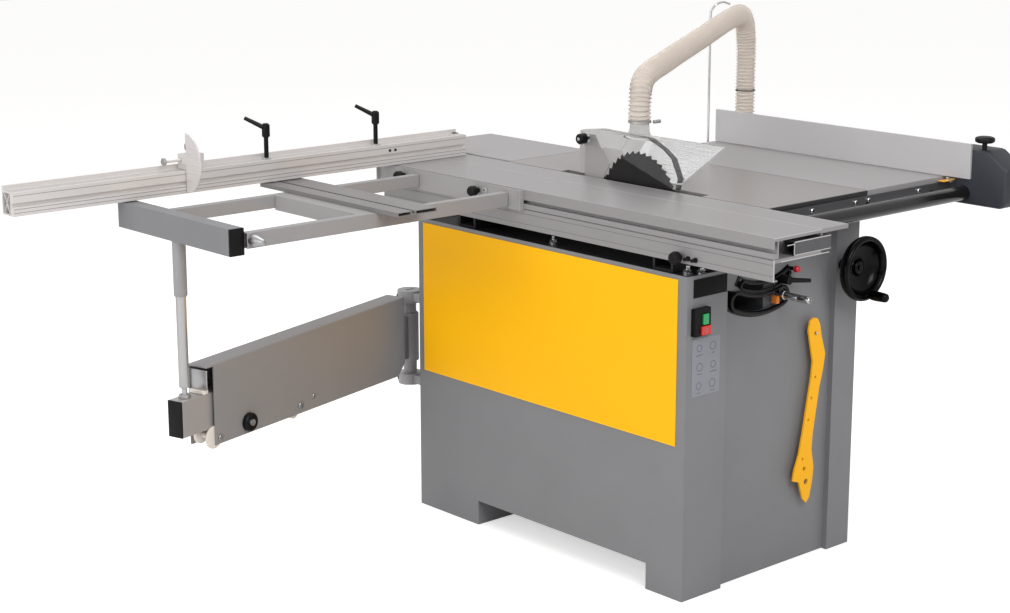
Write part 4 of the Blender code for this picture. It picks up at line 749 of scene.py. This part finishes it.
arm = block("arm_box", 0.062, 0.800, -0.025, 0.030, 0.316, 0.516, 0.0, arm_paint, "arm")
roller_way = block("roller_way", 0.746, 0.830, -0.022, 0.0271, 0.290, 0.360, 0.0, arm_paint, "arm")
C.view_layer.objects.active = arm
O.object.mode_set(mode="EDIT")
for x, z, nx, nz in ((0.062, 0.345, -0.72, -0.69), (0.062, 0.516, 0.0178, 0.9998)):
    O.mesh.select_all(action="SELECT")
    O.mesh.bisect(plane_co=at(x, 0, z), plane_no=(nx, 0, nz), clear_outer=True, use_fill=True)
O.mesh.select_all(action="SELECT")
O.mesh.bevel(offset=0.0035, segments=4, affect="EDGES", clamp_overlap=True)
O.object.mode_set(mode="OBJECT")
hollow = block("arm_hollow", 0.300, 0.830, -0.022, 0.027, 0.3195, 0.4990, 0.0, arm_paint, "arm")
cheek_end = block("arm_cheek_end", 0.776, 0.830, 0.026, 0.040, 0.300, 0.4985, 0.0, arm_paint, "arm")
carve(arm, hollow, roller_way, cheek_end)
on_arm(arm)
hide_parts("support_arm")
on_arm(block("arm_web", 0.0195, 0.0660, -0.0100, 0.0100, 0.3450, 0.4550, 0.0015, arm_paint, "arm"))
turned("arm_hub", "z", (*COLUMN, 0), [(0.0178, 0.3370), (0.0215, 0.3370), (0.0225, 0.3385),
    (0.0225, 0.4595), (0.0215, 0.4610), (0.0178, 0.4610), (0.0178, 0.3370)], column_lightened_paint, "arm",
    sides=48, bored=True)
# A black sheet on the column's top: painted shade standing in for a slot.
block("column_slot_shadow", -0.1975, -0.1735, 0.6270, 0.6330, 0.5200, 0.5203, 0.00005, black_paint, "stand")
for k, (deg, z0) in enumerate(((-212, 0.5045), (-66, 0.5045), (-212, 0.2910), (-66, 0.2910))):
    screw = turned(f"column_screw_{k}", "x", (0, 0, z0), [(0.0052, 0.0306), (0.0052, 0.0322),
        (0.0035, 0.0328), (0.0030, 0.0320)], black_paint, "stand", sides=20)
    screw.data.transform(Matrix.Translation(at(*COLUMN, 0)) @ Matrix.Rotation(math.radians(deg), 4, "Z")
                         @ Matrix.Translation(-ZERO))
plated = finish("plated_tube", lin(176, 172, 170), 0.32, metal=0.35, grain=0.05, mottle=0.03)
dress("telescopic_tube", plated, 0.0012)
on_arm(block("tube_end_cap", 0.8692, 0.8722, -0.0204, 0.0204, 0.3546, 0.4374, 0.0012, black_plastic,
    "telescope"))
strut_gray = finish("strut_gray", lin(150, 149, 150), 0.4, grain=0.1)
strut_silver = finish("strut_silver", lin(188, 187, 188), 0.2, metal=0.7, grain=0.05)
strut_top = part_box("support_strut")[1][2]
strut = turned("strut_sleeve", "z", (*STRUT, 0), [(0.0118, 0.6665), (0.0140, 0.6672), (0.0148, 0.6690),
    (0.0148, strut_top)], strut_gray, "telescope", sides=48)
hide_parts("support_strut")
turned("strut_rod", "z", (*STRUT, 0), [(0.0060, 0.4480), (0.0060, 0.4600), (0.0105, 0.4615),
    (0.0115, 0.4640), (0.0115, 0.6640), (0.0122, 0.6642), (0.0122, 0.6664)], strut_silver, "telescope",
    sides=48)
turned("strut_nut", "z", (*STRUT, 0), [(0.0128, 0.4374), (0.0136, 0.4384), (0.0136, 0.4450),
    (0.0122, 0.4462), (0.0085, 0.4464), (0.0085, 0.4479)], zinc, "telescope", sides=6, smooth=20)
roller_white = finish("roller_white", lin(222, 216, 208), 0.35, grain=0.10)
wheels = turned("arm_wheels", "y", (0.775, 0, 0.3347), [(0.0120, -0.0205), (0.0180, -0.0203),
    (0.0200, -0.0190), (0.0200, -0.0115), (0.0180, -0.0100), (0.0060, -0.0095), (0.0060, 0.0206),
    (0.0245, 0.0208), (0.0262, 0.0220), (0.0262, 0.0252), (0.0245, 0.0262), (0.0120, 0.0263)], roller_white,
    "roller", sides=48)
on_arm(wheels)
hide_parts("arm_roller")
for name, s0, z0, r0, out, paint, slot in (
        ("arm_wheel_screw", 0.7600, 0.3310, 0.0080, 0.0035, zinc, "steel"),
        ("arm_screw_a", 0.478, 0.3360, 0.0090, 0.0035, zinc, "steel"),
        ("arm_screw_b", 0.430, 0.3480, 0.0060, 0.0030, zinc, "steel"),
        ("arm_knob", 0.665, 0.3440, 0.0215, 0.0120, black_plastic, "black_plastic"),
        ("arm_knob_centre", 0.665, 0.3440, 0.0085, 0.0145, zinc, "steel")):
    bit = turned(name, "y", (s0, 0, z0), [(r0 * 0.92, 0.0301), (r0, 0.0306), (r0, 0.0300 + out * 0.75),
        (r0 * 0.88, 0.0300 + out), (r0 * 0.55, 0.0300 + out * 0.96)], paint, "arm", sides=40)
    on_arm(bit)
small_wheel = turned("arm_small_wheel", "y", (0.490, 0, 0.3200), [(0.0080, 0.0080), (0.0140, 0.0085),
    (0.0150, 0.0100), (0.0150, 0.0180), (0.0135, 0.0195), (0.0080, 0.0200)], roller_white, "arm",
    sides=40)
on_arm(small_wheel)
on_arm(block("arm_inner_plate", 0.7930, 0.7960, -0.0218, 0.0268, 0.4470, 0.4920, 0.0010, zinc, "arm"))
on_arm(block("arm_guide_pad", 0.7860, 0.8010, -0.0218, 0.0218, 0.4376, 0.4465, 0.0012, roller_white, "arm"))


# ---- Suction hose: clear ribbed PVC, fifty millimetres across, from the guard's
# neck over the rod's eye and down behind the table to the port in the side.
dress("dust_port", black_plastic, 0.0006)
dress("hose_rod", chrome, 0)
HOSE_VALLEY = 0.0218
HOSE_PITCH = 0.0092


def route(knots, spacing):
    """Points on a smooth curve through the knots."""
    knots = [Vector(k) for k in knots]
    ends = [knots[0] * 2 - knots[1]] + knots + [knots[-1] * 2 - knots[-2]]
    points = [knots[0]]
    for p0, p1, p2, p3 in zip(ends, ends[1:], ends[2:], ends[3:]):
        n = max(1, round((p2 - p1).length / spacing))
        for k in range(1, n + 1):
            t = k / n
            points.append(0.5 * (2 * p1 + (p2 - p0) * t + (2 * p0 - 5 * p1 + 4 * p2 - p3) * t * t
                                 + (3 * p1 - p0 - 3 * p2 + p3) * t ** 3))
    return points


hose_path = [Vector(at(*p)) for p in route([
    (*NECK, 0.9903), (*NECK, 1.040), (0.040, 0.030, 1.092), (0.200, 0.110, 1.115), (0.430, 0.215, 1.145),
    (0.640, 0.310, 1.173), (0.735, 0.352, 1.174), (0.772, 0.368, 1.110), (0.776, 0.370, 0.980),
    (0.776, 0.370, 0.800), (0.770, 0.360, 0.620), (0.730, 0.325, 0.450), (0.620, 0.240, 0.350),
    (0.500, 0.200, 0.330), (0.430, 0.200, 0.330), (0.3603, 0.200, 0.330)], 0.012)]
hose_length = sum((b - a).length for a, b in zip(hose_path, hose_path[1:]))
guide_data = bpy.data.curves.new("hose_guide", "CURVE")
guide_data.dimensions = "3D"
guide_data.twist_mode = "MINIMUM"
guide_line = guide_data.splines.new("POLY")
guide_line.points.add(len(hose_path) - 1)
for spot, p in zip(guide_line.points, hose_path):
    spot.co = (*p, 1)
guide = bpy.data.objects.new("hose_guide", guide_data)
C.collection.objects.link(guide)
ribs = round(hose_length / HOSE_PITCH)
pitch = hose_length / ribs
O.object.select_all(action="DESELECT")
O.mesh.primitive_circle_add(vertices=26, radius=HOSE_VALLEY, fill_type="NOTHING", location=(0, 0, 0))
hose = C.object
hose.name = "suction_hose"
O.object.mode_set(mode="EDIT")
O.mesh.select_all(action="SELECT")
last, low = 0.0, HOSE_VALLEY
for share, wide in ((0.36, 0.0220), (0.52, 0.0248), (0.58, 0.0262), (0.66, 0.0262), (0.72, 0.0248),
                    (1.00, HOSE_VALLEY)):
    O.mesh.extrude_region_move(TRANSFORM_OT_translate={"value": (0, 0, 0)})
    O.transform.resize(value=(wide / low, wide / low, 1), center_override=(0, 0, 0))
    O.transform.translate(value=(0, 0, share * pitch - last))
    last, low = share * pitch, wide
O.object.mode_set(mode="OBJECT")
hose.data.transform(Matrix.Rotation(math.pi / 2, 4, "Y"))
more = hose.modifiers.new("ribs", "ARRAY")
more.count = ribs
more.relative_offset_displace = (1, 0, 0)
more.use_merge_vertices = True
more.merge_threshold = 0.0002
O.object.modifier_apply(modifier="ribs")
wall = hose.modifiers.new("wall", "SOLIDIFY")
wall.thickness = 0.0009
wall.offset = -1
O.object.modifier_apply(modifier="wall")
follow = hose.modifiers.new("follow", "CURVE")
follow.object = guide
follow.deform_axis = "POS_X"
O.object.modifier_apply(modifier="follow")
bpy.data.objects.remove(guide)
O.object.mode_set(mode="EDIT")
O.mesh.select_all(action="SELECT")
O.mesh.normals_make_consistent(inside=False)
O.object.mode_set(mode="OBJECT")
O.object.shade_smooth_by_angle(angle=math.radians(60))
hose_clear = clear("hose_clear", lin(250, 243, 236), 0.10, 0.42, 1.24)
hose.data.materials.append(hose_clear)
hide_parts("dust_hose")
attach(hose, "stand")
turned("hose_ring", "z", (0.776, 0.3695, 0), [(0.0262, 0.9690), (0.0268, 0.9696), (0.0268, 0.9716),
    (0.0262, 0.9722), (0.0256, 0.9706), (0.0262, 0.9690)], black_plastic, "stand",
    sides=40, bored=True)
